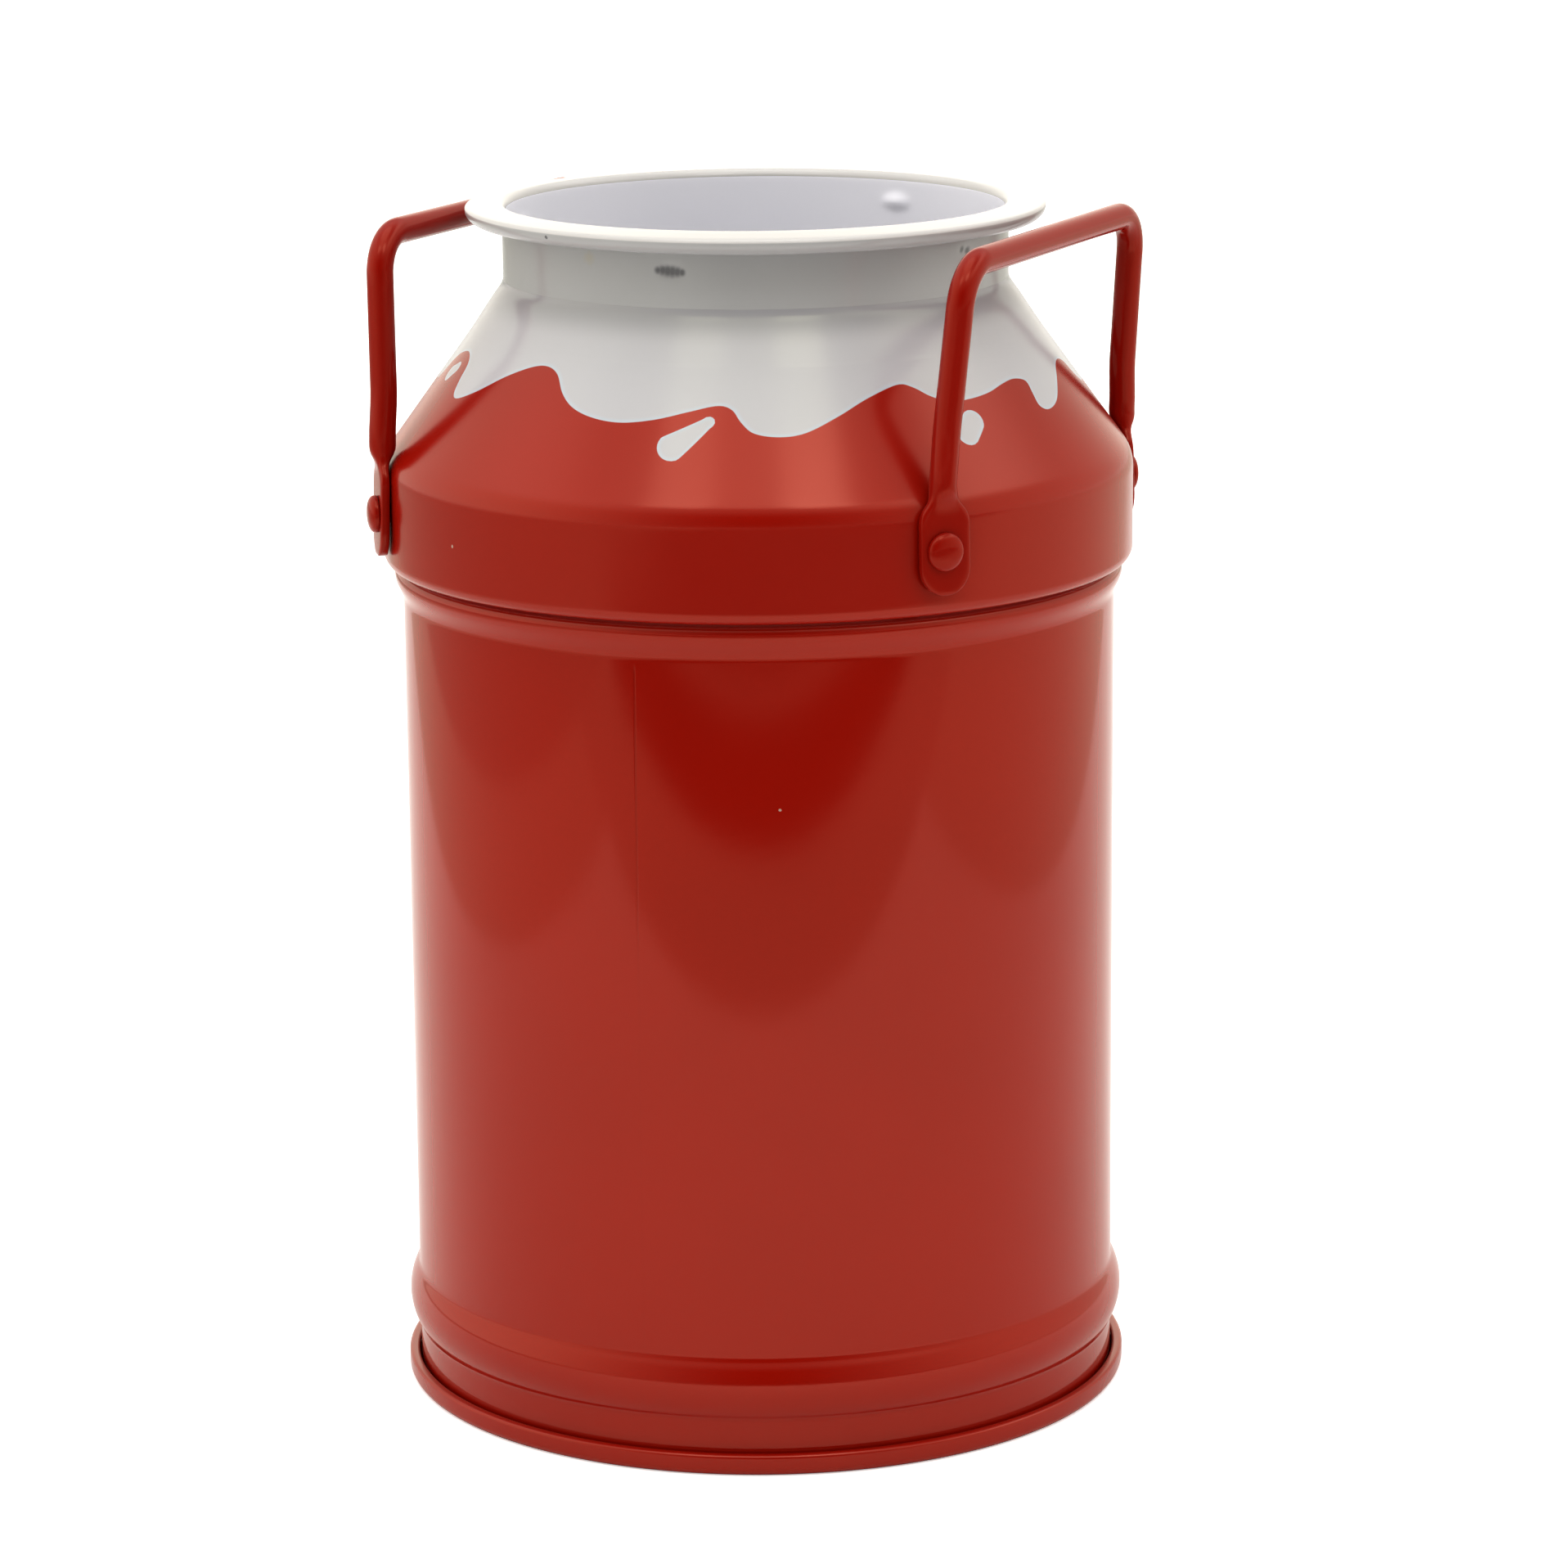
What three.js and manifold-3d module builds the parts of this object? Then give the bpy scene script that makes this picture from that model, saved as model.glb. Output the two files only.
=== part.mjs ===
// Milk churn cookie tin: a round can on a crimped foot disc, a slip-on shoulder lid with an open
// flanged neck, and two wire bail handles riveted to the lid's band.
// Millimetres, +Z up. The foot stands on z = 0 and the tin's axis is the Z axis.
// +X runs through the middle of one handle and -X through the middle of the other.

import * as THREE from 'three';
import { mergeVertices } from 'three/addons/utils/BufferGeometryUtils.js';
import Module from 'manifold-3d';

// Sheet metal
const SHEET = 0.6;
const CLEARANCE = 0.3;
const ROUND_SIDES = 48;

// Can wall, its rounded bead near the foot and the ledge that the lid rests on
const WALL_RADIUS = 51.0;
const WALL_BOTTOM = 0.95;
const WALL_TOP = 130.0;
const BEAD_CENTRE = 12.1;
const BEAD_HALF_HEIGHT = 4.3;
const BEAD_RISE = 1.4;
const BEAD_STEPS = 6;
const LEDGE_BOTTOM = 115.2;
const LEDGE_PEAK = 118.6;
const LEDGE_TOP = 119.35;
const LEDGE_RISE = 1.2;
const LEDGE_EDGE = 0.2;
const LEDGE_EDGE_RISE = 0.84;

// Foot disc: a recessed panel, a flat foot and an upturned lip that stands off the can wall
const PANEL_HEIGHT = 2.2;
const PANEL_RADIUS = 48.9;
const CHANNEL_INNER_RADIUS = 49.6;
const LIP_INNER_RADIUS = 52.15;
const LIP_TOP = 2.75;
const FOOT_CORNER = 0.45;

// Shoulder lid: hem, straight band, rounded corner and cone
const BAND_RADIUS = 53.65;
const HEM_RADIUS = 52.15;
const HEM_BOTTOM = 119.9;
const BAND_BOTTOM = 122.6;
const BAND_TOP = 135.8;
const CORNER_RADIUS = 6.0;
const CONE_RISE = 1.38;
const COLLAR_RADIUS = 37.3;
const COLLAR_RISE = 1.9;

// Neck: lip under the cone, upright wall, flat flange and rolled rim
const NECK_RADIUS = 35.9;
const NECK_LIP_RADIUS = 37.6;
const NECK_LIP_BOTTOM = 156.65;
const NECK_WALL_BOTTOM = 159.0;
const FLANGE_INNER_TOP = 172.0;
const FLANGE_OUTER_TOP = 171.75;
const FLANGE_FILLET = 0.8;
const ROLL_RADIUS = 1.35;
const ROLL_CENTRE_RADIUS = 39.8;
const ROLL_END_ANGLE = -130;

// Small dents pressed into the neck, by their direction round the axis and their height
const DENTS = [
  { direction: -83.7, height: 166.4 },
  { direction: -10.5, height: 166.6 },
  { direction: 79, height: 167.8 },
  { direction: 187, height: 167.2 },
];
const DENT_HALF_WIDTH = 2.1;
const DENT_HALF_HEIGHT = 1.1;
const DENT_DEPTH = 1.0;
const DENT_SKIN = 0.4;
const DENT_SIDES = 8;

// Bail handles: round wire with flattened ends
const WIRE_RADIUS = 1.9;
const WIRE_SIDES = 10;
const WIRE_STEPS = 42;
const HANDLE_HALF_ANGLE = 38;
const LEG_RADIUS = 53.75;
const LEG_ROOT = 137.0;
const LEG_BOTTOM = 139.1;
const BAR_HEIGHT = 168.45;
const LEG_TAPER = 2.1;
const BEND_RADIUS = 4.5;
const PLATE_INNER_RADIUS = 53.97;
const PLATE_THICKNESS = 1.3;
const PLATE_HALF_WIDTH = 3.5;
const PLATE_DROP = 5.5;
const PLATE_TOP = 140.2;
const PLATE_NECK_HALF_WIDTH = 1.6;
const PLATE_SHOULDER = 136.0;
const PLATE_ARC_STEPS = 8;

// Rivets: domed head outside, shank through plate and band, flat set head inside
const SHANK_RADIUS = 1.3;
const HEAD_RADIUS = 2.65;
const HEAD_HEIGHT = 0.9;
const HEAD_EDGE = 0.25;
const SET_HEAD_RADIUS = 2.2;
const SET_HEAD_HEIGHT = 0.6;
const RIVET_SIDES = 16;
const RIVET_DRILL_LENGTH = 8;

// The two handles sit opposite each other; each leans out a little differently
const HANDLES = [
  { name: 'right', turn: 0, lean: 2.8, rivetHeight: 130.1 },
  { name: 'left', turn: 180, lean: 1.4, rivetHeight: 129.4 },
];
const LEG_SIDES = [-1, 1];

const COLOURS = {
  redCan: 0xa3291c,
  redLid: 0xa62c1e,
  redWire: 0x9c1f16,
  redRivet: 0x98211a,
  whiteNeck: 0xd9d6d4,
};

const wasm = await Module();
wasm.setup();

// Materials

function lacquer(colour) {
  return new THREE.MeshStandardMaterial({ color: colour, roughness: 0.22, metalness: 0.1 });
}

// Solids

function toSolid(geometry) {
  const bare = geometry.clone();
  bare.deleteAttribute('normal');
  bare.deleteAttribute('uv');
  const merged = mergeVertices(bare, 1e-4);
  const corners = Array.from(merged.index.array);
  const kept = [];
  for (let i = 0; i < corners.length; i += 3) {
    const [a, b, c] = corners.slice(i, i + 3);
    const flat = a === b || b === c || c === a;
    if (!flat) kept.push(a, b, c);
  }
  return new wasm.Manifold(new wasm.Mesh({
    numProp: 3,
    vertProperties: Float32Array.from(merged.attributes.position.array),
    triVerts: Uint32Array.from(kept),
  }));
}

function toGeometry(solid) {
  const mesh = solid.getMesh();
  const geometry = new THREE.BufferGeometry();
  geometry.setAttribute('position', new THREE.BufferAttribute(mesh.vertProperties, 3));
  geometry.setIndex(new THREE.BufferAttribute(mesh.triVerts, 1));
  geometry.computeVertexNormals();
  return geometry;
}

function placed(geometry, matrix) {
  return toSolid(geometry.clone().applyMatrix4(matrix));
}

function named(name, solid, material) {
  const mesh = new THREE.Mesh(toGeometry(solid), material);
  mesh.name = name;
  return mesh;
}

// Profiles, as points of radius and height

function arc(radius, height, size, fromDegrees, toDegrees, steps) {
  const points = [];
  for (let i = 0; i <= steps; i += 1) {
    const angle = THREE.MathUtils.degToRad(fromDegrees + ((toDegrees - fromDegrees) * i) / steps);
    points.push(new THREE.Vector2(radius + size * Math.cos(angle), height + size * Math.sin(angle)));
  }
  return points;
}

// A line of points shifted sideways by the sheet's thickness, to its left or right
function shifted(path, distance) {
  return path.map((point, i) => {
    const before = path[Math.max(i - 1, 0)];
    const after = path[Math.min(i + 1, path.length - 1)];
    const into = point.clone().sub(i > 0 ? before : point.clone().multiplyScalar(2).sub(after));
    const out = (i < path.length - 1 ? after.clone() : point.clone().multiplyScalar(2).sub(before)).sub(point);
    const left = new THREE.Vector2(-into.y, into.x).normalize();
    const next = new THREE.Vector2(-out.y, out.x).normalize();
    const middle = left.clone().add(next).normalize();
    return point.clone().addScaledVector(middle, distance / middle.dot(left));
  });
}

// A sheet whose outside face is the path, read upwards, with its thickness on the path's left
function sheet(path) {
  const outline = [...path, ...shifted(path, SHEET).reverse(), path[0]];
  return toSolid(turned(outline));
}

function turned(outline, sides = ROUND_SIDES) {
  return new THREE.LatheGeometry(outline, sides).rotateX(Math.PI / 2);
}

// A round column on the tin's axis that runs through the whole neck
function column(radius) {
  const shape = new THREE.CylinderGeometry(radius, radius, 2 * FLANGE_INNER_TOP, ROUND_SIDES);
  return toSolid(shape.rotateX(Math.PI / 2));
}

function at(radius, height) {
  return new THREE.Vector2(radius, height);
}

// Can wall

function beadArc() {
  const size = (BEAD_HALF_HEIGHT ** 2 + BEAD_RISE ** 2) / (2 * BEAD_RISE);
  const half = THREE.MathUtils.radToDeg(Math.asin(BEAD_HALF_HEIGHT / size));
  return arc(WALL_RADIUS + BEAD_RISE - size, BEAD_CENTRE, size, -half, half, BEAD_STEPS);
}

function ledge() {
  const points = [];
  const steps = 4;
  for (let i = 0; i <= steps; i += 1) {
    const part = i / steps;
    const rise = LEDGE_RISE * (1 - Math.cos(Math.PI * part)) * 0.5;
    points.push(at(WALL_RADIUS + rise, LEDGE_BOTTOM + (LEDGE_PEAK - LEDGE_BOTTOM) * part));
  }
  points.push(at(WALL_RADIUS + LEDGE_EDGE_RISE, LEDGE_TOP - LEDGE_EDGE));
  points.push(at(WALL_RADIUS, LEDGE_TOP));
  return points;
}

function canBody() {
  return sheet([at(WALL_RADIUS, WALL_BOTTOM), ...beadArc(), ...ledge(), at(WALL_RADIUS, WALL_TOP)]);
}

// Foot disc, closed on the axis

function canBase() {
  const top = [
    at(0, PANEL_HEIGHT),
    at(PANEL_RADIUS, PANEL_HEIGHT),
    at(CHANNEL_INNER_RADIUS, SHEET + FOOT_CORNER),
    at(CHANNEL_INNER_RADIUS + FOOT_CORNER, SHEET),
    ...arc(LIP_INNER_RADIUS - FOOT_CORNER, SHEET + FOOT_CORNER, FOOT_CORNER, -90, 0, 3),
    at(LIP_INNER_RADIUS, LIP_TOP),
  ];
  const under = shifted(top, -SHEET);
  under[0].x = 0;
  const rounded = arc(LIP_INNER_RADIUS + SHEET / 2, LIP_TOP, SHEET / 2, 0, 180, 4);
  const outline = [...under.slice(0, -1), ...rounded, ...top.slice(0, -1).reverse()];
  return toSolid(turned(outline));
}

// Shoulder lid, bored for the neck, with a clearance hole for each rivet

function shoulderPath() {
  const coneAngle = THREE.MathUtils.radToDeg(Math.atan(1 / CONE_RISE));
  const tangent = CORNER_RADIUS * Math.tan(THREE.MathUtils.degToRad(coneAngle / 2));
  const hem = [];
  const hemSteps = 4;
  for (let i = 0; i <= hemSteps; i += 1) {
    const turn = (Math.PI / 2) * (i / hemSteps);
    const radius = HEM_RADIUS + (BAND_RADIUS - HEM_RADIUS) * Math.sin(turn);
    hem.push(at(radius, BAND_BOTTOM - (BAND_BOTTOM - HEM_BOTTOM) * Math.cos(turn)));
  }
  const corner = arc(BAND_RADIUS - CORNER_RADIUS, BAND_TOP - tangent, CORNER_RADIUS, 0, coneAngle, 4);
  const collarBottom = BAND_TOP + CONE_RISE * (BAND_RADIUS - COLLAR_RADIUS);
  const boreRadius = NECK_RADIUS - SHEET;
  const boreTop = collarBottom + COLLAR_RISE * (COLLAR_RADIUS - boreRadius);
  return [...hem, ...corner, at(COLLAR_RADIUS, collarBottom), at(boreRadius, boreTop)];
}

function radialFrame(direction, radius, height) {
  const turn = THREE.MathUtils.degToRad(direction);
  const outward = new THREE.Vector3(Math.cos(turn), Math.sin(turn), 0);
  const sideways = new THREE.Vector3(-Math.sin(turn), Math.cos(turn), 0);
  const upward = new THREE.Vector3(0, 0, 1);
  const frame = new THREE.Matrix4().makeBasis(sideways, upward, outward);
  return frame.setPosition(outward.clone().multiplyScalar(radius).setZ(height));
}

function legDirection(handle, side) {
  return handle.turn + side * HANDLE_HALF_ANGLE;
}

function rivetHole(handle, side) {
  const bore = SHANK_RADIUS + CLEARANCE;
  const hole = new THREE.CylinderGeometry(bore, bore, RIVET_DRILL_LENGTH, WIRE_SIDES);
  hole.rotateX(Math.PI / 2);
  return placed(hole, radialFrame(legDirection(handle, side), BAND_RADIUS, handle.rivetHeight));
}

function lidShoulder() {
  let solid = sheet(shoulderPath()).subtract(column(NECK_RADIUS + CLEARANCE));
  for (const handle of HANDLES) {
    for (const side of LEG_SIDES) solid = solid.subtract(rivetHole(handle, side));
  }
  return solid;
}

// Neck with its rolled rim and pressed dents

function neckPath() {
  const inner = NECK_RADIUS - SHEET;
  const filletCentre = at(inner + FLANGE_FILLET, FLANGE_INNER_TOP - FLANGE_FILLET);
  return [
    at(NECK_LIP_RADIUS - SHEET, NECK_LIP_BOTTOM - CLEARANCE),
    at(inner, NECK_WALL_BOTTOM - CLEARANCE),
    ...arc(filletCentre.x, filletCentre.y, FLANGE_FILLET, 180, 90, 3),
    ...arc(ROLL_CENTRE_RADIUS, FLANGE_OUTER_TOP - ROLL_RADIUS, ROLL_RADIUS, 90, ROLL_END_ANGLE, 6),
  ];
}

function ellipsoid(dent, radius, halfWidth, halfHeight) {
  const ball = new THREE.SphereGeometry(1, DENT_SIDES, DENT_SIDES / 2);
  ball.scale(halfWidth, halfHeight, DENT_DEPTH);
  return placed(ball, radialFrame(dent.direction, radius, dent.height));
}

function lidNeck() {
  const inside = neckPath();
  const outside = shifted(inside, -SHEET);
  let solid = toSolid(turned([...outside, ...inside.slice().reverse(), outside[0]]));
  const core = column(NECK_RADIUS - SHEET / 2);
  for (const dent of DENTS) {
    const bump = ellipsoid(dent, NECK_RADIUS - SHEET, DENT_HALF_WIDTH + DENT_SKIN, DENT_HALF_HEIGHT + DENT_SKIN);
    const hollow = ellipsoid(dent, NECK_RADIUS, DENT_HALF_WIDTH, DENT_HALF_HEIGHT);
    solid = solid.add(bump.intersect(core)).subtract(hollow);
  }
  return solid;
}

// Bail handles

function wirePath(handle) {
  const half = THREE.MathUtils.degToRad(HANDLE_HALF_ANGLE);
  const foot = { out: LEG_RADIUS * Math.cos(half), across: LEG_RADIUS * Math.sin(half) };
  const corner = { out: foot.out + handle.lean, across: foot.across - LEG_TAPER };
  const [[start, first], [end, second]] = LEG_SIDES.map((side) => {
    const root = new THREE.Vector3(foot.out, side * foot.across, LEG_ROOT);
    const top = new THREE.Vector3(corner.out, side * corner.across, BAR_HEIGHT);
    const cut = (LEG_BOTTOM - LEG_ROOT) / (BAR_HEIGHT - LEG_ROOT);
    return [root.lerp(top, cut), top];
  });
  const path = new THREE.CurvePath();
  const before = (from, to) => to.clone().addScaledVector(from.clone().sub(to).normalize(), BEND_RADIUS);
  const legEnd = before(start, first);
  const barStart = before(second, first);
  const barEnd = before(first, second);
  const legStart = before(end, second);
  path.add(new THREE.LineCurve3(start, legEnd));
  path.add(new THREE.QuadraticBezierCurve3(legEnd, first, barStart));
  path.add(new THREE.LineCurve3(barStart, barEnd));
  path.add(new THREE.QuadraticBezierCurve3(barEnd, second, legStart));
  path.add(new THREE.LineCurve3(legStart, end));
  return path;
}

function circleShape(radius, sides) {
  const shape = new THREE.Shape();
  for (let i = 0; i < sides; i += 1) {
    const angle = (2 * Math.PI * (i + 0.5)) / sides;
    if (i === 0) shape.moveTo(radius * Math.cos(angle), radius * Math.sin(angle));
    else shape.lineTo(radius * Math.cos(angle), radius * Math.sin(angle));
  }
  shape.closePath();
  return shape;
}

function wire(handle) {
  const options = { steps: WIRE_STEPS, extrudePath: wirePath(handle), bevelEnabled: false };
  return toSolid(new THREE.ExtrudeGeometry(circleShape(WIRE_RADIUS, WIRE_SIDES), options));
}

// The flattened end in its own plane: rivet at the origin, round below, narrowing to the wire above
function plateShape(handle) {
  const shape = new THREE.Shape();
  const roundCentre = PLATE_HALF_WIDTH - PLATE_DROP;
  const shoulder = PLATE_SHOULDER - handle.rivetHeight;
  const top = PLATE_TOP - handle.rivetHeight;
  shape.moveTo(PLATE_HALF_WIDTH, roundCentre);
  shape.lineTo(PLATE_HALF_WIDTH, shoulder);
  shape.lineTo(PLATE_NECK_HALF_WIDTH, top);
  shape.lineTo(-PLATE_NECK_HALF_WIDTH, top);
  shape.lineTo(-PLATE_HALF_WIDTH, shoulder);
  shape.lineTo(-PLATE_HALF_WIDTH, roundCentre);
  shape.absarc(0, roundCentre, PLATE_HALF_WIDTH, Math.PI, 2 * Math.PI, false);
  return shape;
}

function plate(handle, side) {
  const options = { depth: PLATE_THICKNESS, bevelEnabled: false, curveSegments: PLATE_ARC_STEPS };
  const flat = new THREE.ExtrudeGeometry(plateShape(handle), options);
  return placed(flat, radialFrame(legDirection(handle, side), PLATE_INNER_RADIUS, handle.rivetHeight));
}

function bail(handle) {
  let solid = wire(handle);
  const turn = new THREE.Matrix4().makeRotationZ(THREE.MathUtils.degToRad(handle.turn));
  solid = placed(toGeometry(solid), turn);
  for (const side of LEG_SIDES) {
    solid = solid.add(plate(handle, side)).subtract(rivetHole(handle, side));
  }
  return solid;
}

// Rivets, turned about their own axis and then laid along the radius

function rivet(handle, side) {
  const seat = PLATE_INNER_RADIUS + PLATE_THICKNESS + CLEARANCE;
  const inner = BAND_RADIUS - SHEET - CLEARANCE;
  const dome = [];
  const domeSteps = 3;
  for (let i = 0; i <= domeSteps; i += 1) {
    const turn = (Math.PI / 2) * (i / domeSteps);
    dome.push(at(HEAD_RADIUS * Math.cos(turn), seat + HEAD_EDGE + (HEAD_HEIGHT - HEAD_EDGE) * Math.sin(turn)));
  }
  dome[domeSteps].x = 0;
  const outline = [
    at(0, inner - SET_HEAD_HEIGHT),
    at(SET_HEAD_RADIUS, inner - SET_HEAD_HEIGHT),
    at(SET_HEAD_RADIUS, inner),
    at(SHANK_RADIUS, inner),
    at(SHANK_RADIUS, seat),
    at(HEAD_RADIUS, seat),
    ...dome,
  ];
  const body = new THREE.LatheGeometry(outline, RIVET_SIDES).rotateX(Math.PI / 2);
  return placed(body, radialFrame(legDirection(handle, side), 0, handle.rivetHeight));
}

// The whole tin

const group = new THREE.Group();
group.add(named('can_body', canBody(), lacquer(COLOURS.redCan)));
group.add(named('can_base', canBase(), lacquer(COLOURS.redCan)));
group.add(named('lid_shoulder', lidShoulder(), lacquer(COLOURS.redLid)));
group.add(named('lid_neck', lidNeck(), lacquer(COLOURS.whiteNeck)));
for (const handle of HANDLES) {
  group.add(named(`handle_${handle.name}`, bail(handle), lacquer(COLOURS.redWire)));
  LEG_SIDES.forEach((side, i) => {
    group.add(named(`rivet_${handle.name}_${i + 1}`, rivet(handle, side), lacquer(COLOURS.redRivet)));
  });
}

export default group;
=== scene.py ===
"""Milk churn cookie tin: smooth lacquered sheet metal, a white drip print and two wire handles.

The file is laid out as an add-on and run as a script. Lengths are metres unless a name or a
comment says millimetres. The frame gives the places of the pieces.
"""

import math

import bmesh
import bpy
import numpy as np
from bpy.props import FloatProperty, FloatVectorProperty, IntProperty, PointerProperty
from bpy.types import Operator, Panel, PropertyGroup
from mathutils import Matrix, Vector


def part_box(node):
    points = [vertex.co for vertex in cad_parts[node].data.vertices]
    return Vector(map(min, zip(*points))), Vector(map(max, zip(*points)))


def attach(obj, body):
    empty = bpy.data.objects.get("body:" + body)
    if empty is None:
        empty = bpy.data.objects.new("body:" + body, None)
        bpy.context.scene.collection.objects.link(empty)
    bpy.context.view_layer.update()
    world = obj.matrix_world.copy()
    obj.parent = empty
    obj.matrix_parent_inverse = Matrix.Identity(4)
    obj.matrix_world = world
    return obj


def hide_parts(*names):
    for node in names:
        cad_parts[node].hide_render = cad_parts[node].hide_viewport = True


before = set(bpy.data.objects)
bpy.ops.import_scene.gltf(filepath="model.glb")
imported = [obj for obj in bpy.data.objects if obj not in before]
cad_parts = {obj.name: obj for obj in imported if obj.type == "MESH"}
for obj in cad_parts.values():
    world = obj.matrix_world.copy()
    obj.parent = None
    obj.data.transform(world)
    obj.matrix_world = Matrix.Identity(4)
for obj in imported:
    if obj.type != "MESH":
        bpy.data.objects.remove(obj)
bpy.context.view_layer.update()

bl_info = {
    "name": "Milk churn cookie tin",
    "version": (1, 0, 0),
    "blender": (4, 5, 0),
    "location": "View3D > Sidebar > Tin",
    "description": "Builds the lacquered pieces of a milk churn cookie tin and its studio",
    "category": "Object",
}

MM = 0.001
SEAM_TOLERANCE = 1e-7
SHARP_ANGLE = math.radians(38)

# Places that the frame gives, in millimetres
CAN_LOW, CAN_HIGH = (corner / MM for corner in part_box("can_body"))
BASE_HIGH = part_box("can_base")[1] / MM
SHOULDER_LOW, SHOULDER_HIGH = (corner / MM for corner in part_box("lid_shoulder"))
NECK_LOW, NECK_HIGH = (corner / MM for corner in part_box("lid_neck"))
BAND_RADIUS = SHOULDER_HIGH.x
RIM_TOP = NECK_HIGH.z
FOOT_RADIUS = BASE_HIGH.x

# Can wall, millimetres: rounded bead near the foot, ledge under the lid, rows of points between
BEAD_FROM, BEAD_TO = 4.6, 19.6
BEAD_CENTRE = 12.1
BEAD_HALF_HEIGHT = 4.3
BEAD_RISE = 1.4
BEAD_FILLET = 0.22
BEAD_FADE = 3.0
LEDGE_BOTTOM = 115.6
LEDGE_PEAK = 119.3
LEDGE_TOP = 121.0
LEDGE_RISE = 1.2
LEDGE_MARGIN = 0.4
WALL_FOOT_ROW, WALL_ROWS_FROM, WALL_LAST_ROW = 3.0, 24.0, 126.0

# Foot disc, millimetres: panel, channel under the wall, upturned lip
PANEL_HEIGHT = 2.2
PANEL_RADIUS = 48.9
PANEL_EDGE = 0.4
PANEL_ROWS = (0.0, 20.0, 40.0)
CHANNEL_RADIUS = 49.6
FOOT_ROUND = 0.5
FOOT_SEAM_WIDTH = 1.5
FOOT_SEAM_HEIGHT = 2.6
FOOT_LIP_ROW = 0.7

# Shoulder lid, millimetres: hem, straight band, rounded corner, cone and collar
HEM_RADIUS = 52.15
HEM_LIFT = 1.0
BAND_MARGIN = 0.5
BAND_INSIDE_ROW = 127.0
BAND_BOTTOM = 122.6
BAND_TOP = 135.8
CORNER_RADIUS = 6.0
CONE_RISE = 1.38
COLLAR_BOTTOM = 154.0
COLLAR_TOP = 161.2
COLLAR_SWELL = 0.3
COLLAR_FILLET = 0.5
COLLAR_EDGE = 0.02
# The collar's bore stays clear of the neck; its lowest points, as distance past the bore and height
BORE_CLEARANCE = 0.004
BORE_FOOT = ((0.0, 158.6), (0.3, 157.9))
PRINT_ROWS_FROM = 141.6
PRINT_ROWS_TO = 153.6

# Neck, millimetres: wall, flange that falls outwards, rolled rim that droops towards the camera
NECK_LIP_RADIUS = 37.0
NECK_WALL_BOTTOM = 158.9
NECK_MARGIN_LOW, NECK_MARGIN_HIGH = 0.6, 0.2
FLANGE_FILLET = 1.3
FLANGE_FALL = 0.35
FLANGE_BEND_FROM = 0.7
RIM_RADIUS = 41.15
RIM_CORNER = 0.55
RIM_DROOP = 0.3
ROLL_DEPTH = 2.0
ROLL_HEIGHT = 1.8
CURL_RADIUS = 0.8

# Dents pressed into the neck: direction round the axis in degrees, height and depth in millimetres
DENTS = ((-83.7, 166.4, 0.25), (-10.5, 166.6, 0.3), (79.0, 167.8, 0.6), (187.0, 167.2, 0.5))
DENT_HALF_WIDTH = 3.0
DENT_HALF_HEIGHT = 1.5
# What lies farther out than this past the neck's wall is no longer wall
WALL_SLACK = 0.3
# The inside's lighter, bluish white lacquer, painted light, ends this share of the flange's fillet
# below the top
INSIDE_END = 0.75

# Wire handles, millimetres, each in its own frame with +X out through its middle
HANDLE_HALF_ANGLE = math.radians(38)
LEG_RADIUS = 53.75
LEG_ROOT = 137.0
LEG_TAPER = 2.1
BEND_RADIUS = 6.0
ROUND_END = 139.6
FOOT_SWING = 0.4
FOOT_SWING_TOP = 147.0
PLATE_MIDDLE = 54.5
PLATE_HALF_WIDTH = 3.75
PLATE_DROP = 6.1
PLATE_SHIFT = 0.35
PLATE_TILT = math.radians(1.6)
PLATE_SQUARENESS = 6.5
PLATE_FROM = 133.4
PLATE_END_ANGLES = (12, 24, 36, 47, 57, 66, 74, 80, 85)
PLATE_TIP_DEPTH = 0.55
PLATE_TIP_WIDTH = 1.6
# How the wire goes flat: height, half width, half depth and how square the section is
WIRE_FLATTENING = (
    (139.0, 1.94, 1.9, 2.0), (138.4, 1.99, 1.82, 2.05), (137.8, 2.06, 1.6, 2.15),
    (137.3, 2.14, 1.3, 2.3), (136.8, 2.32, 1.04, 2.6), (136.3, 2.66, 0.86, 3.0),
    (135.8, 3.08, 0.76, 3.6), (135.2, 3.44, 0.72, 4.4), (134.6, 3.64, 0.7, 5.4),
    (134.0, 3.73, 0.7, 6.2),
)
FLATTENED_AT = 136.3
WIRE_SIDES = 32
HANDLES = {
    "right": {"turn": 0.0, "lean": 2.8},
    "left": {"turn": math.pi, "lean": 1.4},
}

# Rivets, millimetres
RIVET_HEAD_RADIUS = 2.65
RIVET_HEAD_EDGE = 0.4
RIVET_HEAD_HEIGHT = 1.4
RIVET_HEAD_ROUND = 0.12
RIVET_DOME_BULGE = 0.8
RIVET_STEPS = 40
SHANK_RADIUS = 1.3
SET_HEAD_RADIUS = 2.2
SET_HEAD_HEIGHT = 0.6
SET_HEAD_ROUND = 0.2
SET_HEAD_GAP = 0.05

# The photograph is seen from this turn round the tin; the stage is laid out facing that side
VIEW_TURN = math.radians(25)

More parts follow.
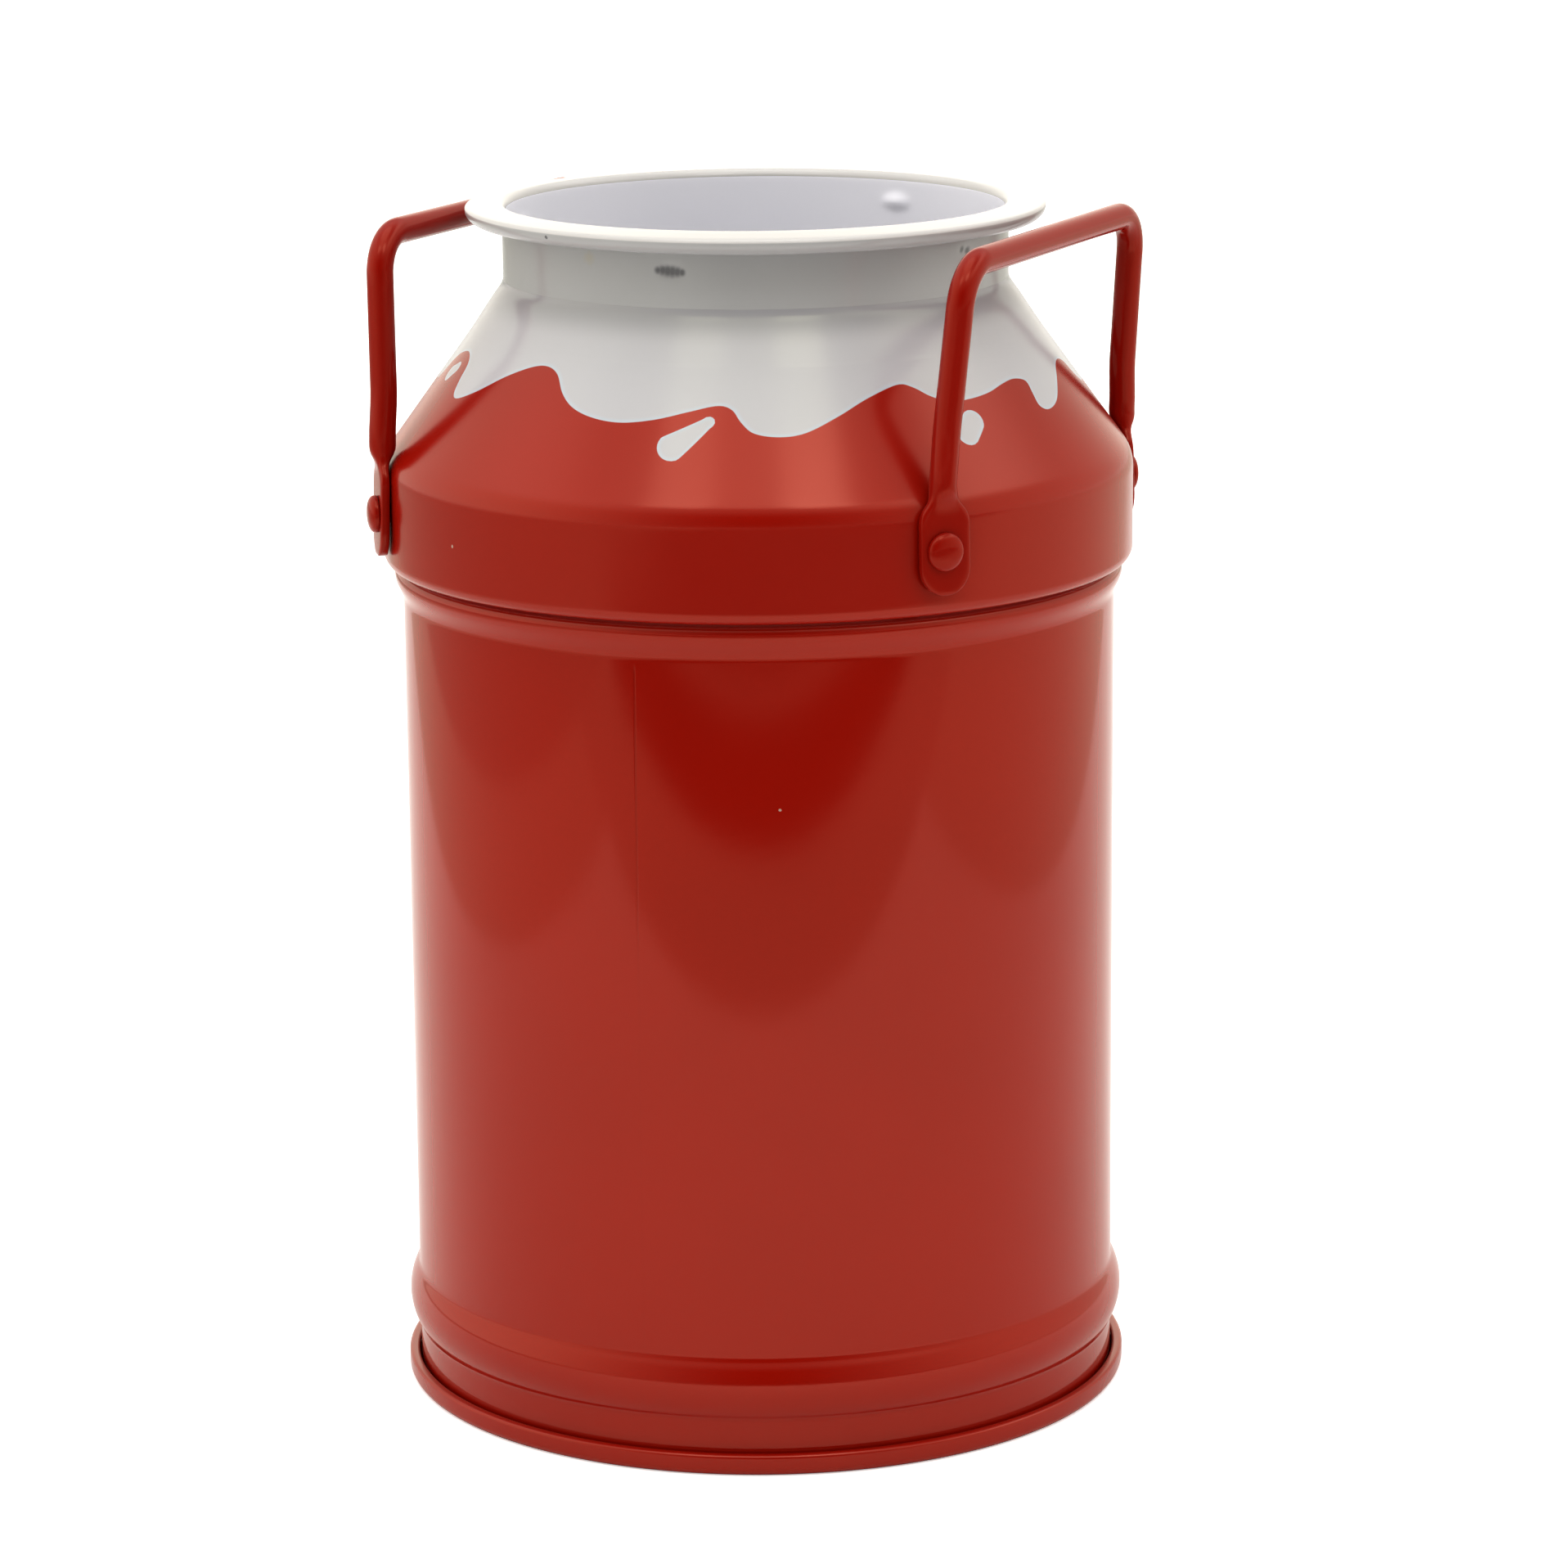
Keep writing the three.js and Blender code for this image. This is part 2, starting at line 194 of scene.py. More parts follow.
# Lower edge of the milk print round the tin: direction in degrees from the side that faces the
# camera, counted to the right, and height in millimetres
MILK_EDGE = (
    (-80.0, 151.4), (-75.0, 152.1), (-71.2, 151.0), (-70.0, 148.8), (-68.6, 147.1), (-66.0, 146.7),
    (-60.5, 148.2), (-54.0, 150.7), (-48.0, 152.4), (-44.0, 152.8), (-40.6, 152.0), (-37.6, 149.8),
    (-34.2, 148.2), (-29.5, 147.2), (-24.0, 146.85), (-18.0, 147.4), (-12.0, 148.5), (-7.0, 149.3),
    (-4.4, 148.8), (-2.8, 147.3), (-0.6, 145.95), (3.5, 145.45), (8.0, 145.85), (14.0, 147.7),
    (20.0, 149.7), (26.5, 151.1), (29.6, 150.6), (32.6, 149.3), (36.4, 148.4), (41.0, 148.4),
    (46.0, 148.8), (50.5, 149.5), (54.5, 149.8), (57.8, 149.2), (57.7, 147.6), (57.5, 146.0),
    (59.6, 145.25), (64.0, 145.9), (69.5, 148.0), (74.0, 149.6), (78.0, 150.05), (81.4, 149.3),
    (83.6, 147.2), (87.0, 145.9), (92.0, 146.4), (98.0, 148.4), (104.0, 150.5), (109.0, 151.2),
    (112.4, 150.4), (114.6, 148.4), (118.0, 147.0), (124.0, 146.9), (131.0, 148.0), (137.0, 149.3),
    (141.0, 149.4), (143.4, 148.3), (144.8, 146.4), (148.0, 145.5), (153.0, 146.0), (159.0, 148.2),
    (165.0, 151.0), (170.0, 152.3), (174.0, 151.8), (177.2, 149.6), (181.0, 148.1), (187.0, 147.5),
    (194.0, 148.0), (200.0, 148.9), (204.2, 149.1), (206.8, 148.2), (208.4, 146.3), (212.0, 145.3),
    (217.0, 145.9), (224.0, 148.2), (231.0, 150.6), (236.0, 151.3), (239.6, 150.6), (242.2, 148.6),
    (246.5, 147.3), (252.0, 147.2), (259.0, 148.3), (264.5, 149.2), (268.6, 148.8), (271.4, 147.2),
    (274.0, 147.6), (277.0, 149.9),
)
# Stretches of the edge farther off than this, in degrees, are left out; distances end at a limit
MILK_REACH = 25.0
MILK_LIMIT = 4.0
# Drops of milk below it: direction and height of the round end, its radius, then of the tip
MILK_DROPS = (
    (-77.9, 148.9, 1.35, -75.7, 149.9, 0.95),
    (-13.9, 144.25, 2.2, -8.3, 147.3, 0.85),
    (37.05, 144.25, 1.75, 39.25, 145.65, 1.75),
    (99.5, 144.6, 2.1, 105.0, 147.2, 0.85),
    (131.0, 144.0, 1.5, 134.5, 145.6, 1.0),
    (184.0, 143.9, 2.2, 189.8, 146.2, 0.85),
    (227.5, 144.4, 1.7, 232.3, 146.5, 0.95),
)

# Small chips in the lacquer: direction from the side that faces the camera, height, size in mm
CAN_CHIPS = (
    (-26.2, 12.8, 0.3), (5.1, 17.7, 0.28), (2.9, 95.0, 0.22), (16.0, 10.4, 0.2),
    (118.0, 13.4, 0.3), (171.0, 61.0, 0.22), (-121.0, 12.2, 0.26),
)
LID_CHIPS = ((-51.7, 128.5, 0.28), (141.0, 126.0, 0.24))
NECK_STAINS = ((-39.5, 167.4, 1.3), (128.0, 165.2, 1.2))
# Painted shade in the two front dents of the neck, as soft dark spots: direction, height, size
NECK_DENT_SHADES = (
    (-21.8, 166.35, 0.8), (-20.7, 166.35, 1.05), (-19.6, 166.3, 1.2), (-18.5, 166.25, 1.2),
    (-17.4, 166.2, 1.05), (-16.3, 166.15, 0.8), (52.6, 167.3, 0.8), (55.0, 167.0, 0.9),
)
NECK_CHIPS = ((-44.1, 170.5, 0.35), (42.2, 171.9, 0.28), (160.0, 171.6, 0.3))
# Radii at which the marks lie: chips low and high on the can, then the neck's stains, painted dent
# shade and chips
CAN_CHIP_RADII = (52.0, 51.0)
NECK_STAIN_RADIUS, NECK_DENT_SHADE_RADIUS, NECK_CHIP_RADIUS = 35.9, 35.7, 41.0

# Side seam of the can: direction, half width in millimetres, and where it fades in and out, as
# heights in metres and strengths
SEAM_DIRECTION = math.radians(-19.5)
SEAM_HALF_WIDTH = 0.1
SEAM_SOFTNESS = 2.2
SEAM_DARKNESS = 0.25
SEAM_FADES = ((0.06, 0.105, 0.12, 1.0), (0.1135, 0.1150, 1.0, 0.0))

# How the lacquers mirror: strength, tone, share of metal, roughness
SHEET_GLOSS = {"level": 0.5, "tint": (0.98, 1.0, 0.75, 1.0), "metal": 0.12, "blur": 0.085}
LID_GLOSS = {**SHEET_GLOSS, "blur": 0.18}
WIRE_GLOSS = {"level": 0.36, "tint": (1.0, 0.74, 0.50, 1.0), "metal": 0.06, "blur": 0.16}
RIPPLE_DEPTH = 0.000012
NECK_MIRROR, INNER_MIRROR = 0.6, 0.5
NECK_COAT = {"Gloss": 0.2, "Dust": 0.25}
INNER_COAT = {"Gloss": 0.32, "Dust": 0.1}
TINPLATE_COAT = {"Gloss": 0.34, "Dust": 0.1}
RED_DUST, PRINT_DUST = 0.25, 0.2

# Noise by its scale and detail, and how it is mapped: its own range, then the range it is given
SHADE_NOISE, SHADE_RANGE = (22.0, 2.0), (0.3, 0.7, 0.965, 1.03)
SPREAD_NOISE, SPREAD_RANGE = (38.0, 4.0), (0.3, 0.75, 0.88, 1.18)
FINE_RIPPLE, WIDE_RIPPLE = (420.0, 1.0), (60.0, 1.0)
FINE_RIPPLE_SHARE = 0.12
RAGGED_NOISE = (2400.0, 2.0)
ROLLED_NOISE, ROLLED_RANGE = (1.0, 3.0), (0.3, 0.7, 0.85, 1.2)
ROLLED_STRETCH = (90.0, 2600.0, 90.0)
ROLLED_DEPTH, ROLLED_STRENGTH = 0.00001, 0.5
PAPER_NOISE = (900.0, 2.0)
PAPER_DEPTH, PAPER_STRENGTH = 0.00002, 0.2
PAPER_ROUGHNESS, PAPER_MIRROR = 0.9, 0.1
# Dust specks: cells a metre, share of cells that have none, where a speck fades, its roughness
DUST_CELLS = 260.0
DUST_RARITY = 0.93
DUST_FADE = (0.05, 0.11)
DUST_ROUGHNESS = 0.3
# The print's edge and its bluish rim, in millimetres inside the milk, and the rim's strength
PRINT_EDGE = (-0.05, 0.05)
PRINT_RIM = (0.05, 0.75, 0.6, 0.0)
CHIP_SOFTNESS = 0.35

# Colours of small marks, of the places where a lacquer differs, and of painted shade and light
CHIP_GREY = (0.52, 0.36, 0.30, 1.0)
DUST_GREY = (0.55, 0.50, 0.47, 1.0)
SEAM_DARK = (0.16, 0.004, 0.002, 1.0)
MILK_RIM_BLUE = (0.52, 0.60, 0.68, 1.0)
STAIN_BEIGE = (0.46, 0.42, 0.33, 1.0)
# Dark for the painted shade in the neck's dents and for the chips on its rim
DENT_SHADE_AND_CHIP_DARK = (0.09, 0.09, 0.10, 1.0)
# Lighter white painted on the flange's top where it faces up: painted light
FLANGE_LIT_WHITE = (0.62, 0.605, 0.595, 1.0)
# Painted light on the flange's upward-facing top: depth below the rim in millimetres where it
# begins and is full
FLANGE_LIT_DEPTHS = (2.2, 1.9)
# Painted shade: the printed white is darkened in the crease where the lid meets the neck: share
# left, heights in metres
COLLAR_PAINTED_SHADE = 0.76
COLLAR_PAINTED_SHADE_HEIGHTS = (0.1562, 0.1605)
# Painted glow on the white lacquer inside the lid, standing in for light that its white walls throw
# at each other
INNER_GLOW = 0.068
INNER_GLOW_TONE = (0.86, 0.88, 1.0, 1.0)

# What lies on the floor past the lit sheet of paper under the tin, as it mirrors in the can:
# name, nearest left corner, farthest right corner and brightness, as seen from the camera's side
PAPER_FRONT, PAPER_LEFT, PAPER_RIGHT = -0.288, -0.311, 0.346
TABLE_FRONT, TABLE_LEFT = -0.412, -0.448
GAP_FRONT, STRIP_FRONT = -0.545, -0.592
FAR = 3.0
CARDS = (
    ("card_table", (TABLE_LEFT, TABLE_FRONT), (FAR, PAPER_FRONT), 0.76),
    ("card_gap", (TABLE_LEFT, GAP_FRONT), (FAR, TABLE_FRONT), 0.02),
    ("card_strip", (TABLE_LEFT, STRIP_FRONT), (FAR, GAP_FRONT), 0.55),
    ("card_room", (TABLE_LEFT, -FAR), (FAR, STRIP_FRONT), 0.1),
    ("card_left", (TABLE_LEFT, PAPER_FRONT), (PAPER_LEFT, FAR), 0.90),
    ("card_shade", (-FAR, -FAR), (TABLE_LEFT, FAR), 0.62),
    ("card_right", (PAPER_RIGHT, PAPER_FRONT), (FAR, FAR), 0.94),
)
CARD_TONE = (1.0, 1.0, 0.86, 1.0)
CARD_HEIGHT = 0.0006
FLOOR_RADIUS = 9.0
# The photograph is exposed so that the paper near the tin is pure white
FLOOR_LIFT = 0.5

# Brightness of the room on each side as seen from the camera's side: axis, its sign, then low, in
# the middle and high; the rings meet between the given heights on a sphere of radius 1
SKY_SIDES = (
    ("Y", -1.0, 0.03, 0.60, 2.2),
    ("Y", 1.0, 0.71, 0.82, 1.42),
    ("X", -1.0, 1.56, 1.80, 1.38),
    ("X", 1.0, 1.12, 2.47, 0.76),
)
SKY_EDGES = ((0.45, 0.68), (0.73, 0.80), (0.90, 0.97))
SKY_TOP = 2.5
# The lit backdrop behind the tin: brightness, how narrow it is, and where it ends upwards
BACKDROP = 0.89
BACKDROP_NARROWNESS = 8.0
BACKDROP_EDGE = (0.40, 0.52)
WHITE = (1.0, 1.0, 1.0, 1.0)
WARM_LOW = (1.0, 0.96, 0.86, 1.0)
WARM_HIGH = (1.0, 0.985, 0.96, 1.0)
VIEW_GAMMA = 0.85
# Lamps above the camera: name, place, edge length, share of the power
LAMPS = (
    ("lamp_left", (-0.29, -0.46, 0.84), 0.24, 0.38),
    ("lamp_right", (0.22, -0.49, 0.84), 0.24, 0.62),
)
LAMP_AIM = 0.8


def length(name, description, millimetres):
    """A length that a user may change, with its default in millimetres."""
    return FloatProperty(
        name=name, description=description, default=millimetres * MM, unit="LENGTH", precision=5
    )


def tint(name, description, default):
    """A colour that a user may change."""
    return FloatVectorProperty(
        name=name, description=description, default=default, subtype="COLOR", min=0.0, max=1.0
    )


def angle(name, description, radians):
    """An angle that a user may change."""
    return FloatProperty(name=name, description=description, default=radians, subtype="ANGLE")


def level(name, description, default):
    """A plain value of at least 0 that a user may change."""
    return FloatProperty(name=name, description=description, default=default, min=0.0)


class TinSizes(PropertyGroup):
    """Main sizes of the tin's sheet metal and wire."""

    wall_radius: length("Can radius", "Outer radius of the straight can wall", 51.0)
    sheet: length("Sheet", "Thickness of the sheet metal", 0.6)
    neck_radius: length("Neck radius", "Outer radius of the neck wall", 35.9)
    wire_radius: length("Wire radius", "Radius of the round handle wire", 1.9)
    plate_thickness: length("Plate thickness", "Thickness of the handles' flattened ends", 1.4)
    round_steps: IntProperty(
        name="Sides round the tin",
        description="Number of faces round a turned piece",
        default=512,
        min=96,
        max=720,
    )


class TinColours(PropertyGroup):
    """Colours of the lacquers, the bare metal and the studio."""

    red: tint("Red lacquer", "Lacquer on the can, the foot and the lid", (0.343, 0.0072, 0.0016))
    wire_red: tint("Handle red", "Lacquer on the handles and rivets", (0.295, 0.0062, 0.0020))
    milk: tint("Milk white", "The printed milk", (0.525, 0.52, 0.55))
    # Set darker than the same white lacquer inside the lid: painted shade
    neck_white: tint("Neck white", "White lacquer on the neck", (0.44, 0.44, 0.445))
    # Lighter and bluer than the same white lacquer outside the neck: painted light
    inner_white_lit: tint("Inside white", "White lacquer inside the lid", (0.92, 0.92, 0.985))
    tinplate: tint("Tinplate", "Bare metal inside the can", (0.62, 0.62, 0.60))
    floor: tint("Floor", "Floor of the studio", (0.90, 0.90, 0.90))


class TinStudio(PropertyGroup):
    """Camera and light of the studio."""

    distance: length("Camera distance", "Level distance from the tin's axis to the camera", 773.8)
    height: length("Camera height", "Height of the camera above the floor", 266.2)
    pitch: angle("Camera pitch", "Angle that the camera looks down", math.radians(13.051))
    yaw: angle("Camera yaw", "Angle that the camera looks past the tin's axis", 0.0037)
    roll: angle("Camera roll", "Lean of the camera about its line of sight", math.radians(-0.498))
    lens: level("Lens", "Focal length in millimetres for a 36 mm long side", 125.7)
    sky_light: level("Sky light", "Brightness of the surroundings as a whole", 1.0)
    lamp_light: level("Lamp power", "Power of the two lamps above the camera, in watts", 0.72)


def sizes():
    """The tin's main sizes, in millimetres."""
    held = bpy.context.scene.tin_sizes
    return {
        "wall": held.wall_radius / MM,
        "sheet": held.sheet / MM,
        "neck": held.neck_radius / MM,
        "wire": held.wire_radius / MM,
        "plate": held.plate_thickness / MM,
        "steps": held.round_steps,
    }


def colour(name):
    """One of the tin's colours, with alpha."""
    return (*getattr(bpy.context.scene.tin_colours, name), 1.0)


def eased(part):
    """The share from 0 to 1 that starts and ends gently."""
    part = min(max(part, 0.0), 1.0)
    return part**2 * (3 - 2 * part)


# Profiles, as lists of radius and height in millimetres


def arc(radius, height, size, start, end, steps):
    """Points on a round stretch of a profile, from one angle in degrees to another."""
    angles = np.radians(np.linspace(start, end, steps + 1))
    return [(radius + size * math.cos(a), height + size * math.sin(a)) for a in angles]


def line(start, end, steps):
    """Evenly spaced points from start to just before end."""
    return [tuple(np.add(start, np.subtract(end, start) * i / steps)) for i in range(steps)]


def shifted(path, distance):
    """The path moved sideways, to its left for a positive distance."""
    points = np.array(path)
    steps = np.diff(points, axis=0)
    normals = np.stack([-steps[:, 1], steps[:, 0]], axis=1)
    normals /= np.linalg.norm(normals, axis=1)[:, None]
    before = np.vstack([normals[:1], normals])
    after = np.vstack([normals, normals[-1:]])
    middle = before + after
    middle /= np.linalg.norm(middle, axis=1)[:, None]
    reach = distance / np.sum(middle * before, axis=1)
    return [tuple(p) for p in points + middle * reach[:, None]]


def end_cap(first, last, steps=6):
    """A half circle from the first point to the last, bulging to the right of the way across."""
    first, last = np.array(first), np.array(last)
    centre, half = (first + last) / 2, (last - first) / 2
    across = np.array([half[1], -half[0]])
    angles = np.linspace(0, math.pi, steps + 1)[1:-1]
    return [tuple(centre - half * math.cos(a) + across * math.sin(a)) for a in angles]


def sheet_outline(path, thickness):
    """The closed outline of a sheet whose outside is the path, read upwards."""
    inside = shifted(path, thickness)[::-1]
    return [*path, *end_cap(path[-1], inside[0]), *inside, *end_cap(inside[-1], path[0])]


# Meshes


def turned(outline, steps, closed=True):
    """A bmesh turned about the Z axis from an outline."""
    mesh = bmesh.new()
    points = [mesh.verts.new((r * MM, 0.0, z * MM)) for r, z in outline]
    pairs = list(zip(points, points[1:]))
    if closed:
        pairs.append((points[-1], points[0]))
    edges = [mesh.edges.new(pair) for pair in pairs]
    bmesh.ops.spin(
        mesh,
        geom=points + edges,
        cent=(0, 0, 0),
        axis=(0, 0, 1),
        angle=2 * math.pi,
        steps=steps,
        use_merge=True,
        use_duplicate=False,
    )
    bmesh.ops.remove_doubles(mesh, verts=mesh.verts, dist=SEAM_TOLERANCE)
    bmesh.ops.recalc_face_normals(mesh, faces=mesh.faces)
    return mesh


def new_object(name, mesh, materials):
    """An object in the scene, made of the bmesh."""
    data = bpy.data.meshes.new(name)
    mesh.to_mesh(data)
    mesh.free()
    for material in materials:
        data.materials.append(material)
    made = bpy.data.objects.new(name, data)
    bpy.context.scene.collection.objects.link(made)
    return made


def add_piece(name, mesh, materials, node):
    """Makes an object of the bmesh that stands for a node of the frame."""
    piece = new_object(name, mesh, materials)
    piece.data.shade_smooth()
    piece.data.set_sharp_from_angle(angle=SHARP_ANGLE)
    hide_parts(node)
    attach(piece, "root")
    return piece


def place(direction, radius, height):
    """A point given by its direction from the side that faces the camera, in degrees."""
    turn = math.radians(direction) + VIEW_TURN - math.pi / 2
    return Vector((radius * math.cos(turn), radius * math.sin(turn), height)) * MM


# Shader nodes and node groups


def new_group(name, inputs, outputs):
    """An empty shader node group with named sockets, and its two end nodes."""
    group = bpy.data.node_groups.new(name, "ShaderNodeTree")
    for socket, kind, value in inputs:
        made = group.interface.new_socket(name=socket, in_out="INPUT", socket_type=kind)
        made.default_value = value
    for socket, kind in outputs:
        group.interface.new_socket(name=socket, in_out="OUTPUT", socket_type=kind)
    start = group.nodes.new("NodeGroupInput")
    end = group.nodes.new("NodeGroupOutput")
    return group, start, end


def fill(tree, node, values):
    """Sets or links the node's inputs, given by name, or by number as i0, i1 and so on."""
    for key, value in values.items():
        socket = node.inputs[int(key[1:]) if key[0] == "i" and key[1:].isdigit() else key]
        if isinstance(value, bpy.types.NodeSocket):
            tree.links.new(value, socket)
        else:
            socket.default_value = value
    return node


def add_node(tree, kind, settings=None, **values):
    """A node with its settings and the values or links of its inputs."""
    node = tree.nodes.new(kind)
    for key, value in (settings or {}).items():
        setattr(node, key, value)
    return fill(tree, node, values)


def maths(tree, operation, first, second=0.0):
    """The output of a maths node."""
    node = add_node(tree, "ShaderNodeMath", {"operation": operation}, i0=first, i1=second)
    return node.outputs[0]


def times(tree, first, second):
    """The product of two values."""
    return maths(tree, "MULTIPLY", first, second)


def ramp(tree, value, low, high, start=0.0, end=1.0, smooth=True):
    """The value mapped from one range to another, held at both ends."""
    kind = {"interpolation_type": "SMOOTHSTEP" if smooth else "LINEAR"}
    node = add_node(
        tree, "ShaderNodeMapRange", kind, i0=value, i1=low, i2=high, i3=start, i4=end
    )
    return node.outputs[0]


def mixed(tree, factor, first, second):
    """The output of a colour mix."""
    node = add_node(tree, "ShaderNodeMix", {"data_type": "RGBA"}, i0=factor, i6=first, i7=second)
    return node.outputs[2]


def own_place(tree):
    """The place on the object."""
    return add_node(tree, "ShaderNodeTexCoord").outputs["Object"]


def height_of(tree, vector):
    """The upward part of a place or a direction."""
    return add_node(tree, "ShaderNodeSeparateXYZ", Vector=vector).outputs["Z"]


def noise(tree, at, scale, detail):
    """The output of a noise texture."""
    node = add_node(tree, "ShaderNodeTexNoise", Vector=at, Scale=scale, Detail=detail)
    return node.outputs["Fac"]


def lacquer_group():
    """Uneven lacquer: slight changes of colour and gloss, fine ripple and sparse dust."""
    colour_socket, number = "NodeSocketColor", "NodeSocketFloat"
    group, start, end = new_group(
        "Lacquer",
        (("Colour", colour_socket, (1, 1, 1, 1)), ("Gloss", number, 0.16), ("Dust", number, 0.3)),
        (("Colour", colour_socket), ("Roughness", number), ("Height", number)),
    )
    at = own_place(group)
    shade = ramp(group, noise(group, at, *SHADE_NOISE), *SHADE_RANGE)
    toned = add_node(group, "ShaderNodeHueSaturation", Value=shade, Color=start.outputs["Colour"])
    specks = add_node(group, "ShaderNodeTexVoronoi", Vector=at, Scale=DUST_CELLS)
    rare = maths(group, "GREATER_THAN", specks.outputs["Color"], DUST_RARITY)
    near = ramp(group, specks.outputs["Distance"], *DUST_FADE, 1.0, 0.0)
    dust = times(group, times(group, rare, near), start.outputs["Dust"])
    spread = ramp(group, noise(group, at, *SPREAD_NOISE), *SPREAD_RANGE)
    rough = times(group, start.outputs["Gloss"], spread)
    ripple = times(group, noise(group, at, *FINE_RIPPLE), FINE_RIPPLE_SHARE)
    made = {
        "Colour": mixed(group, dust, toned.outputs["Color"], DUST_GREY),
        "Roughness": maths(group, "ADD", rough, times(group, dust, DUST_ROUGHNESS)),
        "Height": maths(group, "ADD", ripple, noise(group, at, *WIDE_RIPPLE)),
    }
    fill(group, end, made)
    return group


def spot_group():
    """A soft round spot about a point of the object."""
    number = "NodeSocketFloat"
    group, start, end = new_group(
        "Spot",
        (
            ("Centre", "NodeSocketVector", (0, 0, 0)),
            ("Size", number, 0.0003),
            ("Softness", number, 0.3),
            ("Raggedness", number, 1.0),
        ),
        (("Mask", number),),
    )
    asked = start.outputs
    at = own_place(group)
    ragged = maths(group, "SUBTRACT", noise(group, at, *RAGGED_NOISE), 0.5)
    between = {"operation": "DISTANCE"}
    apart = add_node(group, "ShaderNodeVectorMath", between, i0=at, i1=asked["Centre"])
    across = maths(group, "DIVIDE", apart.outputs["Value"], asked["Size"])
    across = maths(group, "ADD", across, times(group, ragged, asked["Raggedness"]))
    low = maths(group, "SUBTRACT", 1.0, asked["Softness"])
    fill(group, end, {"Mask": ramp(group, across, low, 1.0, 1.0, 0.0)})
    return group


def shader_group(name):
    """The named shader node group, built when it is first asked for."""
    builders = {"Lacquer": lacquer_group, "Spot": spot_group}
    return bpy.data.node_groups.get(name) or builders[name]()


def add_group(tree, name, **values):
    """The named group, placed in a material with its own values."""
    node = tree.nodes.new("ShaderNodeGroup")
    node.node_tree = shader_group(name)
    return fill(tree, node, values)


def spots(tree, places, softness, raggedness=1.0):
    """The mask of all the spots, each given by direction, height, size and radius."""
    shape = {"Softness": softness, "Raggedness": raggedness}
    mask = None
    for direction, height, size, radius in places:
        centre = place(direction, radius, height)
        spot = add_group(tree, "Spot", Centre=centre, Size=size * MM, **shape).outputs[0]
        mask = spot if mask is None else maths(tree, "MAXIMUM", mask, spot)
    return mask


# Materials


def new_material(name):
    """A material with a bare Principled BSDF, its tree and that shader."""
    material = bpy.data.materials.new(name)
    material.use_nodes = True
    return material, material.node_tree, material.node_tree.nodes["Principled BSDF"]


def add_bump(tree, shader, strength, distance, height):
    """Joins a bump to the shader's normal."""
    bump = add_node(tree, "ShaderNodeBump", Strength=strength, Distance=distance, Height=height)
    tree.links.new(bump.outputs["Normal"], shader.inputs["Normal"])


def finish_lacquer(tree, shader, coat, tone):
    """Joins a colour and a lacquer group to the shader, with the lacquer's ripple as a bump."""
    tree.links.new(tone, shader.inputs["Base Color"])
    tree.links.new(coat.outputs["Roughness"], shader.inputs["Roughness"])
    add_bump(tree, shader, 1.0, RIPPLE_DEPTH, coat.outputs["Height"])


def set_gloss(shader, gloss):
    """Sets how strongly and in what tone the lacquer mirrors."""
    shader.inputs["Specular IOR Level"].default_value = gloss["level"]
    shader.inputs["Specular Tint"].default_value = gloss["tint"]
    shader.inputs["Metallic"].default_value = gloss["metal"]


def red_lacquer(name, base, gloss, chips=()):
    """Glossy red lacquer with a few chips."""
    material, tree, shader = new_material(name)
    set_gloss(shader, gloss)
    coat = add_group(tree, "Lacquer", Colour=base, Gloss=gloss["blur"], Dust=RED_DUST)
    tone = coat.outputs["Colour"]
    if chips:
        tone = mixed(tree, spots(tree, chips, CHIP_SOFTNESS), tone, CHIP_GREY)
    finish_lacquer(tree, shader, coat, tone)
    return material


def can_lacquer():
    """Red lacquer of the can, with the fine line of its side seam."""
    low_radius, high_radius = CAN_CHIP_RADII
    chips = [(*chip, low_radius if chip[1] < BEAD_TO else high_radius) for chip in CAN_CHIPS]
    material = red_lacquer("can_red_lacquer", colour("red"), SHEET_GLOSS, chips)
    tree = material.node_tree
    shader = tree.nodes["Principled BSDF"]
    turn = SEAM_DIRECTION + VIEW_TURN
    at = own_place(tree)
    away = []
    for way in ((math.cos(turn), math.sin(turn), 0.0), (math.sin(turn), -math.cos(turn), 0.0)):
        node = add_node(tree, "ShaderNodeVectorMath", {"operation": "DOT_PRODUCT"}, i0=at, i1=way)
        away.append(node.outputs["Value"])
    across, outward = away
    half = SEAM_HALF_WIDTH * MM
    seam = ramp(tree, maths(tree, "ABSOLUTE", across), half, SEAM_SOFTNESS * half, 1.0, 0.0)
    seam = times(tree, seam, maths(tree, "GREATER_THAN", outward, 0.0))
    high = height_of(tree, at)
    for fade in SEAM_FADES:
        seam = times(tree, seam, ramp(tree, high, *fade))
    tone, smooth_normal = (
        shader.inputs[name].links[0].from_socket for name in ("Base Color", "Normal")
    )
    tone = mixed(tree, times(tree, seam, SEAM_DARKNESS), tone, SEAM_DARK)
    tree.links.new(tone, shader.inputs["Base Color"])
    groove = add_node(
        tree,
        "ShaderNodeBump",
        {"invert": True},
        Strength=1.0,
        Distance=RIPPLE_DEPTH,
        Height=seam,
        Normal=smooth_normal,
    )
    tree.links.new(groove.outputs["Normal"], shader.inputs["Normal"])
    return material


